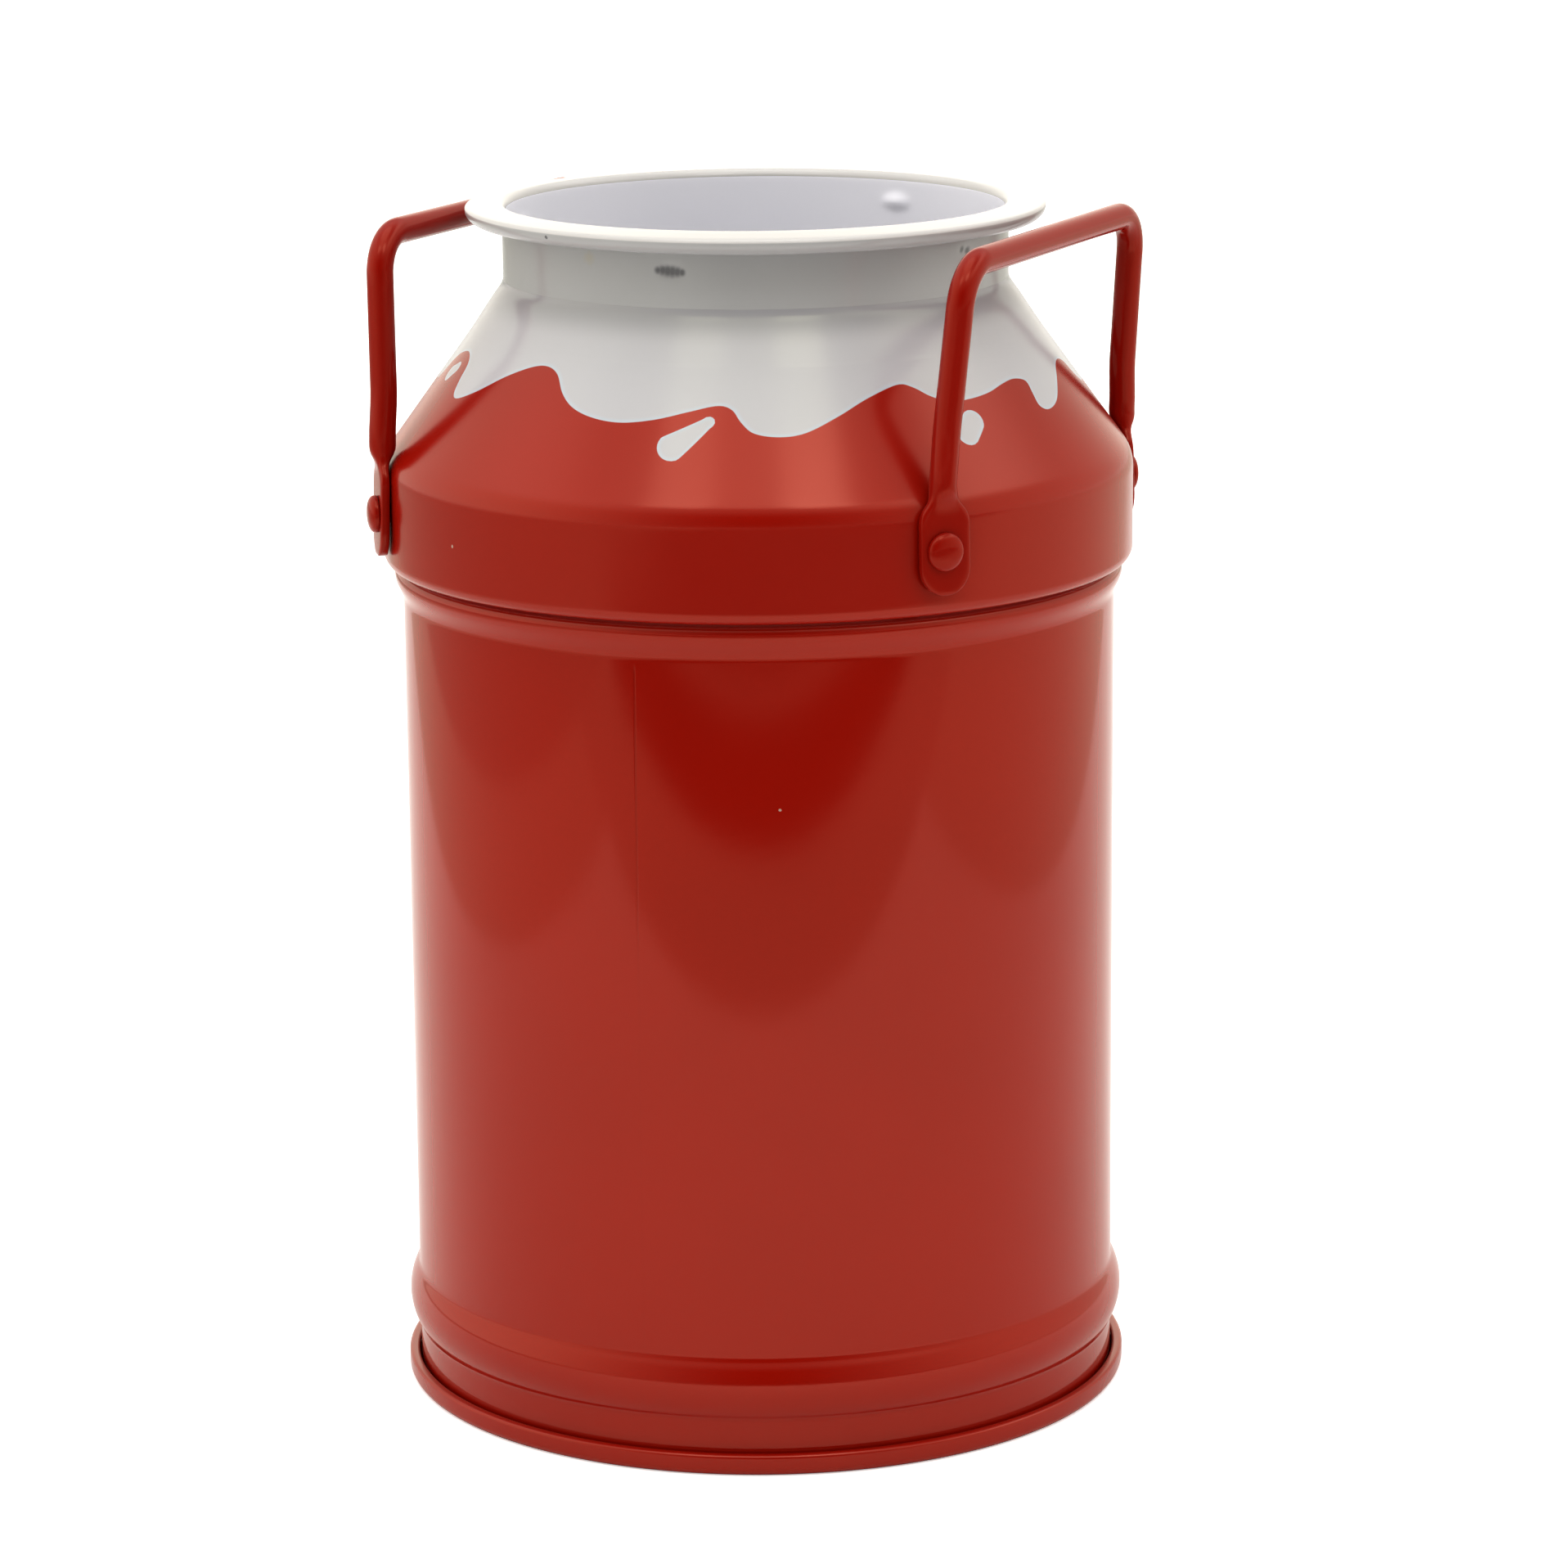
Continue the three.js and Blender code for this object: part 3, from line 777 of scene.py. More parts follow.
def print_lacquer():
    """Red lacquer of the lid with the white milk printed over it, and painted shade on the white
    where it meets the neck.
    """
    material, tree, shader = new_material("lid_print_lacquer")
    set_gloss(shader, LID_GLOSS)
    milk = add_node(tree, "ShaderNodeAttribute", {"attribute_name": "milk"}).outputs["Fac"]
    cover = ramp(tree, milk, *PRINT_EDGE, smooth=False)
    rim = ramp(tree, milk, *PRINT_RIM)
    white = mixed(tree, rim, colour("milk"), MILK_RIM_BLUE)
    # Painted shade in the crease at the neck
    collar = ramp(tree, height_of(tree, own_place(tree)), *COLLAR_PAINTED_SHADE_HEIGHTS)
    collar_shaded_white = (*(COLLAR_PAINTED_SHADE * part for part in colour("milk")[:3]), 1.0)
    white = mixed(tree, collar, white, collar_shaded_white)
    look = {"Gloss": LID_GLOSS["blur"], "Dust": PRINT_DUST}
    coat = add_group(tree, "Lacquer", Colour=colour("red"), **look)
    chips = spots(tree, [(*chip, BAND_RADIUS) for chip in LID_CHIPS], CHIP_SOFTNESS)
    red = mixed(tree, chips, coat.outputs["Colour"], CHIP_GREY)
    finish_lacquer(tree, shader, coat, mixed(tree, cover, red, white))
    metal = ramp(tree, cover, 0.0, 1.0, LID_GLOSS["metal"], 0.0, smooth=False)
    tree.links.new(metal, shader.inputs["Metallic"])
    return material


def neck_lacquer():
    """White lacquer of the neck, with small stains, painted shade in two dents, chips and painted
    light on the flange's top.
    """
    material, tree, shader = new_material("neck_white_lacquer")
    shader.inputs["Specular IOR Level"].default_value = NECK_MIRROR
    coat = add_group(tree, "Lacquer", Colour=colour("neck_white"), **NECK_COAT)
    high = height_of(tree, own_place(tree))
    upward = height_of(tree, add_node(tree, "ShaderNodeNewGeometry").outputs["Normal"])
    # Painted light: the flange's top is made lighter near the rim where it faces up
    near_rim = ramp(tree, high, *((RIM_TOP - depth) * MM for depth in FLANGE_LIT_DEPTHS))
    lit_top = times(tree, near_rim, ramp(tree, upward, 0.02, 0.25))
    tone = mixed(tree, lit_top, coat.outputs["Colour"], FLANGE_LIT_WHITE)
    # Stains, painted dent shade and chips: their radius, softness, raggedness, strength and colour
    for marks, radius, softness, raggedness, strength, mark_or_shade_colour in (
        (NECK_STAINS, NECK_STAIN_RADIUS, 0.8, 1.0, 0.5, STAIN_BEIGE),
        # Painted shade in the dents: dark spots standing in for their shadow
        (NECK_DENT_SHADES, NECK_DENT_SHADE_RADIUS, 0.82, 0.1, 0.78, DENT_SHADE_AND_CHIP_DARK),
        (NECK_CHIPS, NECK_CHIP_RADIUS, 0.4, 1.0, 0.8, DENT_SHADE_AND_CHIP_DARK),
    ):
        mask = spots(tree, [(*mark, radius) for mark in marks], softness, raggedness)
        tone = mixed(tree, times(tree, mask, strength), tone, mark_or_shade_colour)
    finish_lacquer(tree, shader, coat, tone)
    return material


def inner_lacquer():
    """White lacquer inside the lid, lighter and bluer than outside as painted light, with a painted
    glow.
    """
    material, tree, shader = new_material("lid_inside_lacquer")
    shader.inputs["Specular IOR Level"].default_value = INNER_MIRROR
    # Painted glow that stands in for light between the white walls inside
    shader.inputs["Emission Color"].default_value = INNER_GLOW_TONE
    shader.inputs["Emission Strength"].default_value = INNER_GLOW
    coat = add_group(tree, "Lacquer", Colour=colour("inner_white_lit"), **INNER_COAT)
    finish_lacquer(tree, shader, coat, coat.outputs["Colour"])
    return material


def tinplate():
    """Bare tinplate inside the can, with fine rolling marks."""
    material, tree, shader = new_material("tinplate_inside")
    shader.inputs["Metallic"].default_value = 1.0
    at = own_place(tree)
    drawn = add_node(tree, "ShaderNodeMapping", Vector=at, Scale=ROLLED_STRETCH).outputs[0]
    marks = noise(tree, drawn, *ROLLED_NOISE)
    coat = add_group(tree, "Lacquer", Colour=colour("tinplate"), **TINPLATE_COAT)
    streaks = times(tree, coat.outputs["Roughness"], ramp(tree, marks, *ROLLED_RANGE))
    tree.links.new(coat.outputs["Colour"], shader.inputs["Base Color"])
    tree.links.new(streaks, shader.inputs["Roughness"])
    add_bump(tree, shader, ROLLED_STRENGTH, ROLLED_DEPTH, marks)
    return material


def inside_faces(mesh, index, is_inside):
    """Gives the faces that the test picks the material of this index."""
    for face in mesh.faces:
        if is_inside(face.calc_center_median() / MM, face.normal):
            face.material_index = index


def faces_axis(centre, normal):
    """True where a turned face looks towards the tin's axis."""
    return centre.x * normal.x + centre.y * normal.y < 0


# Can and foot


def bead_rise(height):
    """How far the bead stands out of the wall at this height, with a soft foot on both sides."""
    size = (BEAD_HALF_HEIGHT**2 + BEAD_RISE**2) / (2 * BEAD_RISE)
    bulge = math.sqrt(max(size**2 - (height - BEAD_CENTRE) ** 2, 0.0)) - (size - BEAD_RISE)
    return (bulge + math.sqrt(bulge**2 + BEAD_FILLET**2)) / 2


def wall_path(wall):
    """Outside of the can wall from the foot to the edge inside the lid."""
    path = [(wall, CAN_LOW.z), *line((wall, WALL_FOOT_ROW), (wall, BEAD_FROM), 2)]
    for height in np.linspace(BEAD_FROM, BEAD_TO, 52):
        fade = eased(min(height - BEAD_FROM, BEAD_TO - height) / BEAD_FADE)
        path.append((wall + bead_rise(height) * fade, height))
    last = (wall, LEDGE_BOTTOM - LEDGE_MARGIN)
    path += [*line((wall, WALL_ROWS_FROM), last, 8), last]
    for part in np.linspace(0, 1, 15):
        rise = LEDGE_RISE * (1 - math.cos(math.pi * part)) / 2
        path.append((wall + rise, LEDGE_BOTTOM + (LEDGE_PEAK - LEDGE_BOTTOM) * part))
    for part in np.linspace(0, 1, 9)[1:]:
        height = LEDGE_PEAK + (LEDGE_TOP - LEDGE_PEAK) * part
        path.append((wall + LEDGE_RISE * (1 - part**2), height))
    path += [(wall, LEDGE_TOP + LEDGE_MARGIN), (wall, WALL_LAST_ROW), (wall, CAN_HIGH.z)]
    return path


class TIN_OT_can_wall(Operator):
    """Builds the can wall with its bead and the ledge that the lid rests on."""

    bl_idname = "tin.can_wall"
    bl_label = "Can wall"

    def execute(self, context):
        size = sizes()
        mesh = turned(sheet_outline(wall_path(size["wall"]), size["sheet"]), size["steps"] // 2)
        inside_faces(mesh, 1, faces_axis)
        add_piece("can_wall", mesh, (can_lacquer(), tinplate()), "can_body")
        return {"FINISHED"}


def foot_outline(sheet):
    """Half outline of the foot disc, from the axis below to the axis above."""
    lip = FOOT_RADIUS - sheet
    seam = FOOT_RADIUS - FOOT_SEAM_WIDTH
    low = sheet + FOOT_ROUND
    top = [
        *((radius, PANEL_HEIGHT) for radius in PANEL_ROWS),
        *arc(PANEL_RADIUS - PANEL_EDGE, PANEL_HEIGHT - PANEL_EDGE, PANEL_EDGE, 90, 20, 4),
        (CHANNEL_RADIUS, low),
        *arc(CHANNEL_RADIUS + FOOT_ROUND, low, FOOT_ROUND, 200, 270, 4),
        *arc(lip - FOOT_ROUND, low, FOOT_ROUND, -90, 0, 6),
        (lip, FOOT_SEAM_HEIGHT - FOOT_LIP_ROW),
    ]
    under = shifted(top, -sheet)
    under[0] = (0.0, under[0][1])
    high = BASE_HIGH.z - FOOT_ROUND
    outside = arc(FOOT_RADIUS - FOOT_ROUND, high, FOOT_ROUND, 0, 90, 5)
    inside = arc(seam + FOOT_ROUND, high, FOOT_ROUND, 90, 180, 5)
    return [*under, *outside, *inside, (seam, FOOT_SEAM_HEIGHT), *top[::-1]]


class TIN_OT_foot_disc(Operator):
    """Builds the foot disc with its upturned lip."""

    bl_idname = "tin.foot_disc"
    bl_label = "Foot disc"

    def execute(self, context):
        size = sizes()
        mesh = turned(foot_outline(size["sheet"]), size["steps"] // 2, closed=False)

        def is_floor(centre, normal):
            return math.hypot(centre.x, centre.y) < CHANNEL_RADIUS and normal.z > 0.1

        inside_faces(mesh, 1, is_floor)
        red = red_lacquer("foot_red_lacquer", colour("red"), SHEET_GLOSS)
        plate = bpy.data.materials.get("tinplate_inside") or tinplate()
        add_piece("foot_disc", mesh, (red, plate), "can_base")
        return {"FINISHED"}


# Shoulder lid


def cone_radius(height):
    """Outer radius of the cone at this height."""
    return BAND_RADIUS - (height - BAND_TOP) / CONE_RISE


def shoulder_outline(neck, sheet):
    """Closed outline of the shoulder, finely stepped where the print runs."""
    lean = math.atan(1 / CONE_RISE)
    hem = []
    for part in np.linspace(0, math.pi / 2, 11):
        radius = HEM_RADIUS + (BAND_RADIUS - HEM_RADIUS) * math.sin(part)
        drop = (BAND_BOTTOM - SHOULDER_LOW.z - HEM_LIFT) * math.cos(part)
        hem.append((radius, BAND_BOTTOM - drop))
    corner_low = BAND_TOP - CORNER_RADIUS * math.tan(lean / 2)
    middle = BAND_RADIUS - CORNER_RADIUS
    corner = arc(middle, corner_low, CORNER_RADIUS, 0, math.degrees(lean), 12)
    print_low, print_high, collar_foot = (
        (cone_radius(height), height) for height in (PRINT_ROWS_FROM, PRINT_ROWS_TO, COLLAR_BOTTOM)
    )
    bore = neck + BORE_CLEARANCE
    collar_top = COLLAR_TOP - COLLAR_EDGE
    collar = []
    for part in np.linspace(0, 1, 25)[1:]:
        height = COLLAR_BOTTOM + (collar_top - COLLAR_BOTTOM) * part
        beyond = cone_radius(height) + COLLAR_SWELL * math.sin(math.pi / 2 * part) ** 1.5 - bore
        beyond = (beyond + math.sqrt(beyond**2 + COLLAR_FILLET**2)) / 2
        collar.append((bore + COLLAR_EDGE + beyond * (1 - part**8), height))
    outer = [
        *hem,
        (BAND_RADIUS, BAND_BOTTOM + BAND_MARGIN),
        (BAND_RADIUS, corner_low - BAND_MARGIN),
        *corner,
        *line(corner[-1], print_low, 4)[1:],
        *line(print_low, print_high, 30),
        *line(print_high, collar_foot, 2),
        collar_foot,
        *collar,
        *arc(bore, collar_top, COLLAR_EDGE, 30, 90, 2),
        *((bore + past, height) for past, height in BORE_FOOT),
    ]
    under = (print_low, print_high, collar_foot)
    coarse = [*hem[::2], (BAND_RADIUS, BAND_INSIDE_ROW), *corner[::3], *under]
    inside = shifted(coarse, sheet)[::-1]
    return [*outer, *inside, *end_cap(inside[-1], outer[0])]


def smooth_loop(points, steps):
    """A closed smooth curve through the points, with this many steps between each two."""
    knots = np.array(points)
    before, after, beyond = (np.roll(knots, shift, axis=0) for shift in (1, -1, -2))
    before[0, 0] -= 360.0
    after[-1, 0] += 360.0
    beyond[-2:, 0] += 360.0
    once = after - before
    twice = 2 * before - 5 * knots + 4 * after - beyond
    thrice = 3 * knots - before - 3 * after + beyond
    stretches = [
        0.5 * (2 * knots + once * t + twice * t**2 + thrice * t**3)
        for t in np.linspace(0, 1, steps, endpoint=False)
    ]
    curve = np.stack(stretches, axis=1).reshape(-1, 2)
    return np.vstack([curve, curve[:1] + [360.0, 0.0]])


def milk_distance(direction, height, radius):
    """Distance in millimetres from the milk's edge, positive inside the milk."""
    curve = smooth_loop(MILK_EDGE, 6)
    curve = np.vstack([curve - [360.0, 0.0], curve[1:], curve[1:] + [360.0, 0.0]])
    slope = math.hypot(1.0, 1 / CONE_RISE)
    scale = np.radians(1.0) * radius
    turn_low, turn_high = direction.min() - MILK_REACH, direction.max() + MILK_REACH
    above = np.zeros(len(height), dtype=int)
    nearest = np.full(len(height), 1e9)
    for start, end in zip(curve, curve[1:]):
        low, high = sorted((start[0], end[0]))
        if high < turn_low or low > turn_high:
            continue
        crosses = (start[0] <= direction) != (end[0] <= direction)
        part = (direction - start[0]) / (end[0] - start[0] or 1.0)
        above += crosses & (start[1] + (end[1] - start[1]) * part < height)
        x = (direction - start[0]) * scale
        y = (height - start[1]) * slope
        run = (end[0] - start[0]) * scale
        rise = (end[1] - start[1]) * slope
        along = np.clip((x * run + y * rise) / (run**2 + rise**2), 0, 1)
        nearest = np.minimum(nearest, np.hypot(x - along * run, y - along * rise))
    distance = np.where(above % 2 == 1, nearest, -nearest)
    for turn, middle, size, tip_turn, tip_middle, tip_size in MILK_DROPS:
        away = (direction - turn + 180.0) % 360.0 - 180.0
        x = away * scale
        y = (height - middle) * slope
        run = (tip_turn - turn) * scale
        rise = (tip_middle - middle) * slope
        apart = np.hypot(run, rise)
        lift = (size - tip_size) / apart
        u = (x * run + y * rise) / apart
        v = np.abs(x * rise - y * run) / apart
        along = np.clip((u + v * lift / np.sqrt(1 - lift**2)) / apart, 0, 1)
        drop = size + (tip_size - size) * along - np.hypot(u - along * apart, v)
        distance = np.maximum(distance, drop)
    return distance


def paint_milk(piece):
    """Stores each vertex's distance from the edge of the milk print."""
    data = piece.data
    flat = np.empty(len(data.vertices) * 3)
    data.vertices.foreach_get("co", flat)
    points = flat.reshape(-1, 3) / MM
    radius = np.hypot(points[:, 0], points[:, 1])
    turned_by = np.degrees(np.arctan2(points[:, 1], points[:, 0]) + math.pi / 2 - VIEW_TURN)
    first = MILK_EDGE[0][0]
    direction = (turned_by - first) % 360.0 + first
    edge = milk_distance(direction, points[:, 2], radius).clip(-MILK_LIMIT, MILK_LIMIT)
    data.attributes.new("milk", "FLOAT", "POINT").data.foreach_set("value", edge)


class TIN_OT_shoulder(Operator):
    """Builds the shoulder lid and lays the milk print on its cone."""

    bl_idname = "tin.shoulder"
    bl_label = "Shoulder lid"

    def execute(self, context):
        size = sizes()
        mesh = turned(shoulder_outline(size["neck"], size["sheet"]), size["steps"])
        inside_faces(mesh, 1, faces_axis)
        materials = (print_lacquer(), inner_lacquer())
        piece = add_piece("shoulder_lid", mesh, materials, "lid_shoulder")
        paint_milk(piece)
        return {"FINISHED"}


# Neck


def neck_outline(neck, sheet):
    """Closed outline of the neck with its flange and rolled rim."""
    inner = neck - sheet
    fillet_low = RIM_TOP - FLANGE_FILLET
    rim = RIM_TOP - FLANGE_FALL
    roll_top = rim - RIM_CORNER
    flat_end = RIM_RADIUS - RIM_CORNER
    fall = math.atan2(FLANGE_FALL, flat_end - inner - FLANGE_FILLET)
    top_angle = 90 - math.degrees(fall)
    fillet = arc(inner + FLANGE_FILLET, fillet_low, FLANGE_FILLET, 180, top_angle, 9)
    foot = []
    for part in np.linspace(0, 1, 7):
        radius = NECK_LIP_RADIUS + (inner - NECK_LIP_RADIUS) * (1 - (1 - part) ** 2)
        foot.append((radius, NECK_LOW.z + (NECK_WALL_BOTTOM - NECK_LOW.z) * part))
    roll = []
    for turn in np.linspace(0, math.pi / 2, 11):
        radius = RIM_RADIUS - ROLL_DEPTH * (1 - math.cos(turn))
        roll.append((radius, roll_top - ROLL_HEIGHT * math.sin(turn)))
    wall_low = (inner, NECK_WALL_BOTTOM + NECK_MARGIN_LOW)
    curl_middle = roll_top - ROLL_HEIGHT + CURL_RADIUS
    inside = [
        *foot,
        *line(wall_low, (inner, fillet_low - NECK_MARGIN_HIGH), 22),
        *fillet,
        *line(fillet[-1], (flat_end, rim), 4)[1:],
        *arc(flat_end, roll_top, RIM_CORNER, top_angle, 0, 6)[:-1],
        *roll,
        *arc(RIM_RADIUS - ROLL_DEPTH, curl_middle, CURL_RADIUS, -90, -170, 6)[1:],
    ]
    outside = shifted(inside, -sheet)
    foot_cap, curl_cap = end_cap(inside[0], outside[0]), end_cap(outside[-1], inside[-1])
    return [*inside[::-1], *foot_cap, *outside, *curl_cap]


def bend_rim(mesh, neck):
    """Bends the outer edge of the flange down a little on the camera's side."""
    start = neck + FLANGE_BEND_FROM
    for vertex in mesh.verts:
        x, y = vertex.co.x / MM, vertex.co.y / MM
        radius = math.hypot(x, y)
        share = min(max((radius - start) / (RIM_RADIUS - start), 0.0), 1.0)
        outward = (math.sin(VIEW_TURN) * x - math.cos(VIEW_TURN) * y) / radius
        vertex.co.z -= RIM_DROOP * MM * share * max(outward, 0.0) ** 2


def press_dents(mesh, neck):
    """Pushes the neck's wall inwards at each dent."""
    for direction, height, most in DENTS:
        turn = math.radians(direction)
        for vertex in mesh.verts:
            at = vertex.co / MM
            radius = math.hypot(at.x, at.y)
            if radius > neck + WALL_SLACK or abs(at.z - height) > DENT_HALF_HEIGHT:
                continue
            away = math.remainder(math.atan2(at.y, at.x) - turn, 2 * math.pi) * neck
            reach = math.hypot(away / DENT_HALF_WIDTH, (at.z - height) / DENT_HALF_HEIGHT)
            if reach < 1:
                depth = most * math.cos(reach * math.pi / 2) ** 1.5
                vertex.co.x *= (radius - depth) / radius
                vertex.co.y *= (radius - depth) / radius


class TIN_OT_neck(Operator):
    """Builds the neck with its flange, rolled rim and small dents."""

    bl_idname = "tin.neck"
    bl_label = "Neck"

    def execute(self, context):
        size = sizes()
        mesh = turned(neck_outline(size["neck"], size["sheet"]), size["steps"] * 3 // 4)
        press_dents(mesh, size["neck"])
        top = RIM_TOP - FLANGE_FILLET * INSIDE_END

        def is_inside(centre, normal):
            within = math.hypot(centre.x, centre.y) < NECK_LIP_RADIUS
            return within and centre.z < top and faces_axis(centre, normal)

        inside_faces(mesh, 1, is_inside)
        bend_rim(mesh, size["neck"])
        inner = bpy.data.materials.get("lid_inside_lacquer") or inner_lacquer()
        add_piece("neck", mesh, (neck_lacquer(), inner), "lid_neck")
        return {"FINISHED"}


# Handles


def section(centre, across, outward, half_width, half_depth, squareness):
    """Points of one section of the wire, from round to a flat bar with rounded edges."""
    points = []
    for i in range(WIRE_SIDES):
        turn = 2 * math.pi * i / WIRE_SIDES
        c, s = math.cos(turn), math.sin(turn)
        x = math.copysign(abs(c) ** (2 / squareness), c) * half_width
        y = math.copysign(abs(s) ** (2 / squareness), s) * half_depth
        points.append((centre + across * x + outward * y) * MM)
    return points


def lofted(sections):
    """A closed bmesh drawn from one section to the next, capped at both ends."""
    mesh = bmesh.new()
    first = bmesh.ops.create_circle(mesh, cap_ends=False, segments=len(sections[0]), radius=MM)
    ring = first["verts"]
    for vertex, point in zip(ring, sections[0]):
        vertex.co = point
    edges = list(mesh.edges)
    bmesh.ops.contextual_create(mesh, geom=edges)
    for points in sections[1:]:
        grown = bmesh.ops.extrude_edge_only(mesh, edges=edges)["geom"]
        edges = [item for item in grown if isinstance(item, bmesh.types.BMEdge)]
        old = {vertex: i for i, vertex in enumerate(ring)}
        fresh = [None] * len(ring)
        for vertex in (item for item in grown if isinstance(item, bmesh.types.BMVert)):
            for edge in vertex.link_edges:
                source = old.get(edge.other_vert(vertex))
                if source is not None:
                    fresh[source] = vertex
        for vertex, point in zip(fresh, points):
            vertex.co = point
        ring = fresh
    bmesh.ops.contextual_create(mesh, geom=edges)
    bmesh.ops.recalc_face_normals(mesh, faces=mesh.faces)
    return mesh


def leg_line(handle, bar_height):
    """Root and top corner of one leg's centre line, on the +Y side of the handle."""
    x, y = math.cos(HANDLE_HALF_ANGLE), math.sin(HANDLE_HALF_ANGLE)
    root = Vector((LEG_RADIUS * x, LEG_RADIUS * y, LEG_ROOT))
    return root, Vector((root.x + handle["lean"], root.y - LEG_TAPER, bar_height))


def wire_sections(handle, rivet_height, bar_height, wire, plate):
    """Sections of half the handle, from the middle of the bar to the end of the flat plate."""
    root, corner = leg_line(handle, bar_height)
    down = (root - corner).normalized()
    along = Vector((0, 1, 0))
    face = along.cross(down).normalized()
    bend = along.angle(down)
    reach = BEND_RADIUS * math.tan(bend / 2)
    half = plate / 2
    made = []

    def round_section(centre, across, outward):
        made.append(section(centre, across, outward, wire, wire, 2.0))

    # Bar
    bar_end = corner - along * reach
    for part in np.linspace(0, 1, 6)[:-1]:
        middle = Vector((corner.x, 0, corner.z)).lerp(bar_end, part)
        round_section(middle, along.cross(face), face)
    # Bend
    inward = along.cross(face).normalized()
    if inward.dot(down) < 0:
        inward = -inward
    centre = bar_end + inward * BEND_RADIUS
    for part in np.linspace(0, 1, 15):
        c, s = math.cos(bend * part), math.sin(bend * part)
        point = centre - inward * BEND_RADIUS * c + along * BEND_RADIUS * s
        round_section(point, (along * c + inward * s).cross(face), face)
    # Leg, turning towards the lid's side and swinging out a little at its foot
    leg_start = corner + down * reach
    radial = Vector((math.cos(HANDLE_HALF_ANGLE), math.sin(HANDLE_HALF_ANGLE), 0))
    sideways = Vector((-radial.y, radial.x, 0))
    twist = math.atan2(radial.dot(down.cross(face)), radial.dot(face))
    for height in np.linspace(leg_start.z, ROUND_END, 14)[1:]:
        part = (leg_start.z - height) / (leg_start.z - ROUND_END)
        swing = eased((FOOT_SWING_TOP - height) / (FOOT_SWING_TOP - ROUND_END))
        point = corner + down * ((corner.z - height) / -down.z) + radial * (FOOT_SWING * swing)
        turn = Matrix.Rotation(twist * part, 3, down)
        across, outward = turn @ down.cross(face), turn @ face
        round_section(point, across, outward)
    # Flattened end
    wire_foot = point
    side = sideways if sideways.dot(across) > 0 else -sideways

    def plate_point(height):
        out = PLATE_MIDDLE + math.tan(PLATE_TILT) * (rivet_height - height)
        point = radial * out - sideways * PLATE_SHIFT
        point.z = height
        return point

    for height, half_width, half_depth, squareness in WIRE_FLATTENING:
        ease = eased((ROUND_END - height) / (ROUND_END - FLATTENED_AT))
        point = wire_foot.lerp(plate_point(height), ease)
        point.z = height
        ways = across.lerp(side, ease).normalized(), outward.lerp(radial, ease).normalized()
        made.append(section(point, *ways, half_width, max(half_depth, half), squareness))
    end_centre = rivet_height - PLATE_DROP + PLATE_HALF_WIDTH
    spans = [(height, PLATE_HALF_WIDTH, half) for height in np.linspace(PLATE_FROM, end_centre, 7)]
    for turn in np.radians(PLATE_END_ANGLES):
        drop, width = math.sin(turn) * PLATE_HALF_WIDTH, math.cos(turn) * PLATE_HALF_WIDTH
        thin = PLATE_TIP_DEPTH + (1 - PLATE_TIP_DEPTH) * width / PLATE_TIP_WIDTH
        spans.append((end_centre - drop, width, half * min(1.0, thin)))
    for height, half_width, depth in spans:
        point = plate_point(height)
        made.append(section(point, side, radial, half_width, depth, PLATE_SQUARENESS))
    return made


class TIN_OT_handles(Operator):
    """Builds the two wire handles with their flattened ends."""

    bl_idname = "tin.handles"
    bl_label = "Wire handles"

    def execute(self, context):
        size = sizes()
        paint = red_lacquer("handle_red_lacquer", colour("wire_red"), WIRE_GLOSS)
        flip = Matrix.Diagonal((1, -1, 1))
        wire, plate = size["wire"], size["plate"]
        for name, handle in HANDLES.items():
            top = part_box(f"handle_{name}")[1] / MM
            low, high = (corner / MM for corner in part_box(f"rivet_{name}_1"))
            half = wire_sections(handle, (low.z + high.z) / 2, top.z - wire, wire, plate)
            mirrored = [[flip @ point for point in ring] for ring in half[:0:-1]]
            mesh = lofted([*mirrored, *half])
            spin = Matrix.Rotation(handle["turn"], 3, "Z")
            bmesh.ops.transform(mesh, matrix=spin.to_4x4(), verts=mesh.verts)
            add_piece(f"handle_wire_{name}", mesh, (paint,), f"handle_{name}")
        return {"FINISHED"}


# Rivets


def rivet_outline(seat, inner):
    """Half outline of a rivet laid along its own axis, from the set head to the dome."""
    dome = []
    for part in np.linspace(0, math.pi / 2, 10):
        rise = RIVET_HEAD_EDGE + (RIVET_HEAD_HEIGHT - RIVET_HEAD_EDGE) * math.sin(part)
        dome.append((RIVET_HEAD_RADIUS * math.cos(part) ** RIVET_DOME_BULGE, seat + rise))
    dome[-1] = (0.0, dome[-1][1])
    end = inner - SET_HEAD_HEIGHT
    rounding, head_rounding = SET_HEAD_ROUND, RIVET_HEAD_ROUND
    return [
        (0.0, end),
        *arc(SET_HEAD_RADIUS - rounding, end + rounding, rounding, -90, 0, 3),
        (SET_HEAD_RADIUS, inner),
        (SHANK_RADIUS, inner),
        (SHANK_RADIUS, seat),
        *arc(RIVET_HEAD_RADIUS - head_rounding, seat + head_rounding, head_rounding, -90, 0, 3),
        *dome,
    ]


